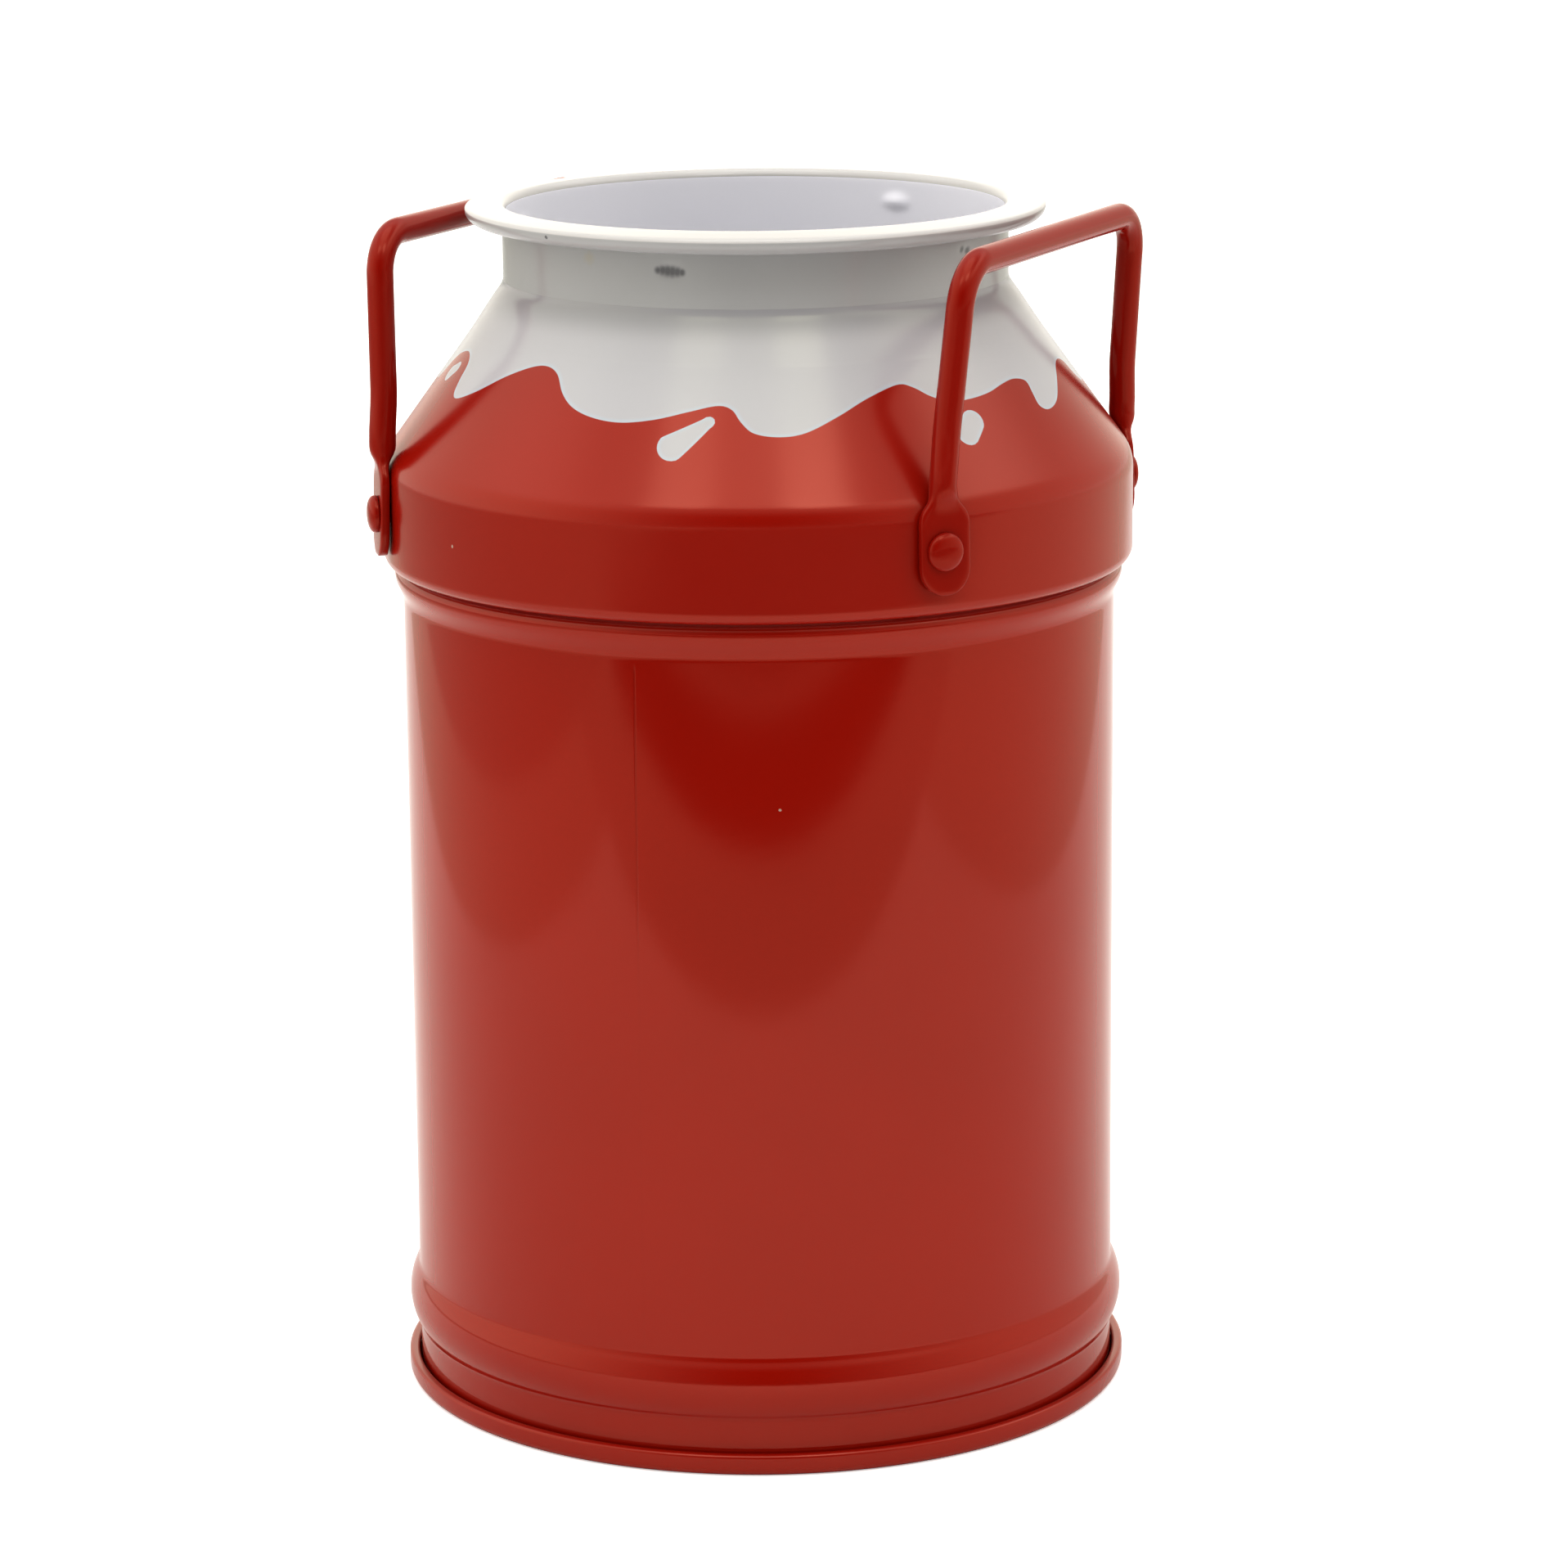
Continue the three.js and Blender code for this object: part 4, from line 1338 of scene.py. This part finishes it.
class TIN_OT_rivets(Operator):
    """Builds the four rivets that hold the handles."""

    bl_idname = "tin.rivets"
    bl_label = "Rivets"

    def execute(self, context):
        size = sizes()
        paint = red_lacquer("rivet_red_lacquer", colour("wire_red"), WIRE_GLOSS)
        seat = PLATE_MIDDLE + size["plate"] / 2
        inner = BAND_RADIUS - size["sheet"] - SET_HEAD_GAP
        lay = Matrix.Rotation(math.pi / 2, 4, "Y")
        for name, handle in HANDLES.items():
            for number, side in ((1, -1), (2, 1)):
                node = f"rivet_{name}_{number}"
                low, high = (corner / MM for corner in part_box(node))
                mesh = turned(rivet_outline(seat, inner), RIVET_STEPS, closed=False)
                turn = Matrix.Rotation(handle["turn"] + side * HANDLE_HALF_ANGLE, 4, "Z")
                lift = Matrix.Translation((0, 0, (low.z + high.z) / 2 * MM))
                bmesh.ops.transform(mesh, matrix=lift @ turn @ lay, verts=mesh.verts)
                add_piece(f"rivet_head_{name}_{number}", mesh, (paint,), node)
        return {"FINISHED"}


# Studio


def facing(x, y, z):
    """A place of the studio, given as seen from the camera's side."""
    return Matrix.Rotation(VIEW_TURN, 3, "Z") @ Vector((x, y, z))


def add_card(name, low, high, brightness):
    """A flat sheet on the floor that only shows in the tin's gloss."""
    mesh = bmesh.new()
    bmesh.ops.create_grid(mesh, x_segments=1, y_segments=1, size=0.5)
    middle = [(a + b) / 2 for a, b in zip(low, high)]
    bmesh.ops.scale(mesh, vec=(high[0] - low[0], high[1] - low[1], 1), verts=mesh.verts)
    bmesh.ops.translate(mesh, vec=(*middle, CARD_HEIGHT), verts=mesh.verts)
    bmesh.ops.rotate(mesh, matrix=Matrix.Rotation(VIEW_TURN, 3, "Z"), verts=mesh.verts)
    material = bpy.data.materials.new(name)
    material.use_nodes = True
    tree = material.node_tree
    tree.nodes.clear()
    glow = add_node(tree, "ShaderNodeEmission", Color=CARD_TONE, Strength=brightness)
    add_node(tree, "ShaderNodeOutputMaterial", Surface=glow.outputs[0])
    card = new_object(name, mesh, (material,))
    card.visible_camera = card.visible_diffuse = card.visible_shadow = False


def add_floor():
    """The wide pale floor."""
    mesh = bmesh.new()
    bmesh.ops.create_circle(mesh, cap_ends=True, segments=96, radius=FLOOR_RADIUS)
    material, tree, shader = new_material("floor_paper")
    shader.inputs["Base Color"].default_value = colour("floor")
    shader.inputs["Roughness"].default_value = PAPER_ROUGHNESS
    shader.inputs["Specular IOR Level"].default_value = PAPER_MIRROR
    grain = noise(tree, own_place(tree), *PAPER_NOISE)
    add_bump(tree, shader, PAPER_STRENGTH, PAPER_DEPTH, grain)
    seen = add_node(tree, "ShaderNodeLightPath").outputs["Is Camera Ray"]
    shader.inputs["Emission Color"].default_value = WHITE
    tree.links.new(times(tree, seen, FLOOR_LIFT), shader.inputs["Emission Strength"])
    floor = new_object("floor", mesh, (material,))


def add_world(studio):
    """Soft surroundings whose brightness changes with height and with the side of the room."""
    world = bpy.data.worlds.new("studio_world")
    world.use_nodes = True
    tree = world.node_tree
    tree.nodes.clear()
    way = add_node(tree, "ShaderNodeTexCoord").outputs["Generated"]
    about_z = {"rotation_type": "Z_AXIS"}
    way = add_node(tree, "ShaderNodeVectorRotate", about_z, Vector=way, Angle=-VIEW_TURN).outputs[0]
    parts = add_node(tree, "ShaderNodeSeparateXYZ", Vector=way).outputs
    up = parts["Z"]
    # The level part of the direction, squared, and a little more, so that it is never 0
    flat = maths(tree, "SUBTRACT", 1.0001, times(tree, up, up))
    above = [ramp(tree, up, *edge) for edge in SKY_EDGES]
    rings = [maths(tree, "SUBTRACT", *pair) for pair in zip((1.0, *above), above)]
    total = times(tree, above[-1], SKY_TOP)
    for axis, sign, *levels in SKY_SIDES:
        lobe = maths(tree, "MAXIMUM", times(tree, parts[axis], sign), 0.0)
        lobe = maths(tree, "DIVIDE", times(tree, lobe, lobe), flat)
        for ring, brightness in zip(rings, levels):
            lit = times(tree, lobe, times(tree, ring, brightness))
            total = maths(tree, "ADD", total, lit)
    behind = maths(tree, "MAXIMUM", parts["Y"], 0.0)
    narrow = maths(tree, "DIVIDE", behind, maths(tree, "SQRT", flat))
    narrow = maths(tree, "POWER", narrow, BACKDROP_NARROWNESS)
    lit = times(tree, ramp(tree, up, *BACKDROP_EDGE, 1.0, 0.0), BACKDROP)
    total = maths(tree, "ADD", total, times(tree, narrow, lit))
    warmth = mixed(tree, above[0], WARM_LOW, WARM_HIGH)
    strength = times(tree, total, studio.sky_light)
    light = add_node(tree, "ShaderNodeBackground", Color=warmth, Strength=strength)
    seen = add_node(tree, "ShaderNodeBackground", Color=WHITE, Strength=1.0)
    ray = add_node(tree, "ShaderNodeLightPath").outputs["Is Camera Ray"]
    ends = {"i1": light.outputs[0], "i2": seen.outputs[0]}
    both = add_node(tree, "ShaderNodeMixShader", i0=ray, **ends)
    add_node(tree, "ShaderNodeOutputWorld", Surface=both.outputs[0])
    bpy.context.scene.world = world


def add_lamp(name, spot, size, power):
    """A square soft lamp that looks at the tin."""
    data = bpy.data.lights.new(name, "AREA")
    data.shape = "SQUARE"
    data.size = size
    data.energy = power
    data.color = WARM_HIGH[:3]
    lamp = bpy.data.objects.new(name, data)
    bpy.context.scene.collection.objects.link(lamp)
    lamp.location = spot
    aim = Vector((0, 0, RIM_TOP * MM * LAMP_AIM)) - spot
    lamp.rotation_mode = "QUATERNION"
    lamp.rotation_quaternion = aim.to_track_quat("-Z", "Y")
    lamp.visible_camera = False


def add_camera(studio):
    """The camera, at the photograph's angle."""
    data = bpy.data.cameras.new("camera")
    data.lens = studio.lens
    data.sensor_width = 36.0
    data.clip_end = 50.0
    camera = bpy.data.objects.new("camera", data)
    bpy.context.scene.collection.objects.link(camera)
    turn = Matrix.Rotation(VIEW_TURN - studio.yaw, 4, "Z")
    tip = Matrix.Rotation(math.pi / 2 - studio.pitch, 4, "X")
    lean = Matrix.Rotation(studio.roll, 4, "Z")
    spot = facing(0.0, -studio.distance, studio.height)
    camera.matrix_world = Matrix.Translation(spot) @ turn @ tip @ lean
    bpy.context.scene.camera = camera


class TIN_OT_stage(Operator):
    """Builds the floor, the cards, the lights and the camera."""

    bl_idname = "tin.stage"
    bl_label = "Studio"

    def execute(self, context):
        studio = context.scene.tin_studio
        view = context.scene.view_settings
        view.view_transform = "Standard"
        view.look = "None"
        view.gamma = VIEW_GAMMA
        add_floor()
        for card in CARDS:
            add_card(*card)
        for name, spot, size, share in LAMPS:
            add_lamp(name, facing(*spot), size, share * studio.lamp_light)
        add_world(studio)
        add_camera(studio)
        return {"FINISHED"}


class TIN_PT_panel(Panel):
    """Lists the tin's pieces and the studio in the sidebar."""

    bl_idname = "TIN_PT_panel"
    bl_label = "Cookie tin"
    bl_space_type = "VIEW_3D"
    bl_region_type = "UI"
    bl_category = "Tin"

    def draw(self, context):
        column = self.layout.column()
        for owner in (context.scene.tin_sizes, context.scene.tin_colours, context.scene.tin_studio):
            for name in owner.__annotations__:
                column.prop(owner, name)
        for operator in OPERATORS:
            column.operator(operator.bl_idname)


OPERATORS = (
    TIN_OT_can_wall,
    TIN_OT_foot_disc,
    TIN_OT_shoulder,
    TIN_OT_neck,
    TIN_OT_handles,
    TIN_OT_rivets,
    TIN_OT_stage,
)
GROUPS = {"tin_sizes": TinSizes, "tin_colours": TinColours, "tin_studio": TinStudio}


def register():
    """Registers the groups, the operators and the panel."""
    for name, group in GROUPS.items():
        bpy.utils.register_class(group)
        setattr(bpy.types.Scene, name, PointerProperty(type=group))
    for operator in OPERATORS:
        bpy.utils.register_class(operator)
    bpy.utils.register_class(TIN_PT_panel)


def unregister():
    """Removes what register added."""
    bpy.utils.unregister_class(TIN_PT_panel)
    for operator in reversed(OPERATORS):
        bpy.utils.unregister_class(operator)
    for name, group in GROUPS.items():
        delattr(bpy.types.Scene, name)
        bpy.utils.unregister_class(group)


def main():
    """Builds every piece."""
    register()
    for operator in OPERATORS:
        category, name = operator.bl_idname.split(".")
        getattr(getattr(bpy.ops, category), name)()


if __name__ == "__main__":
    main()
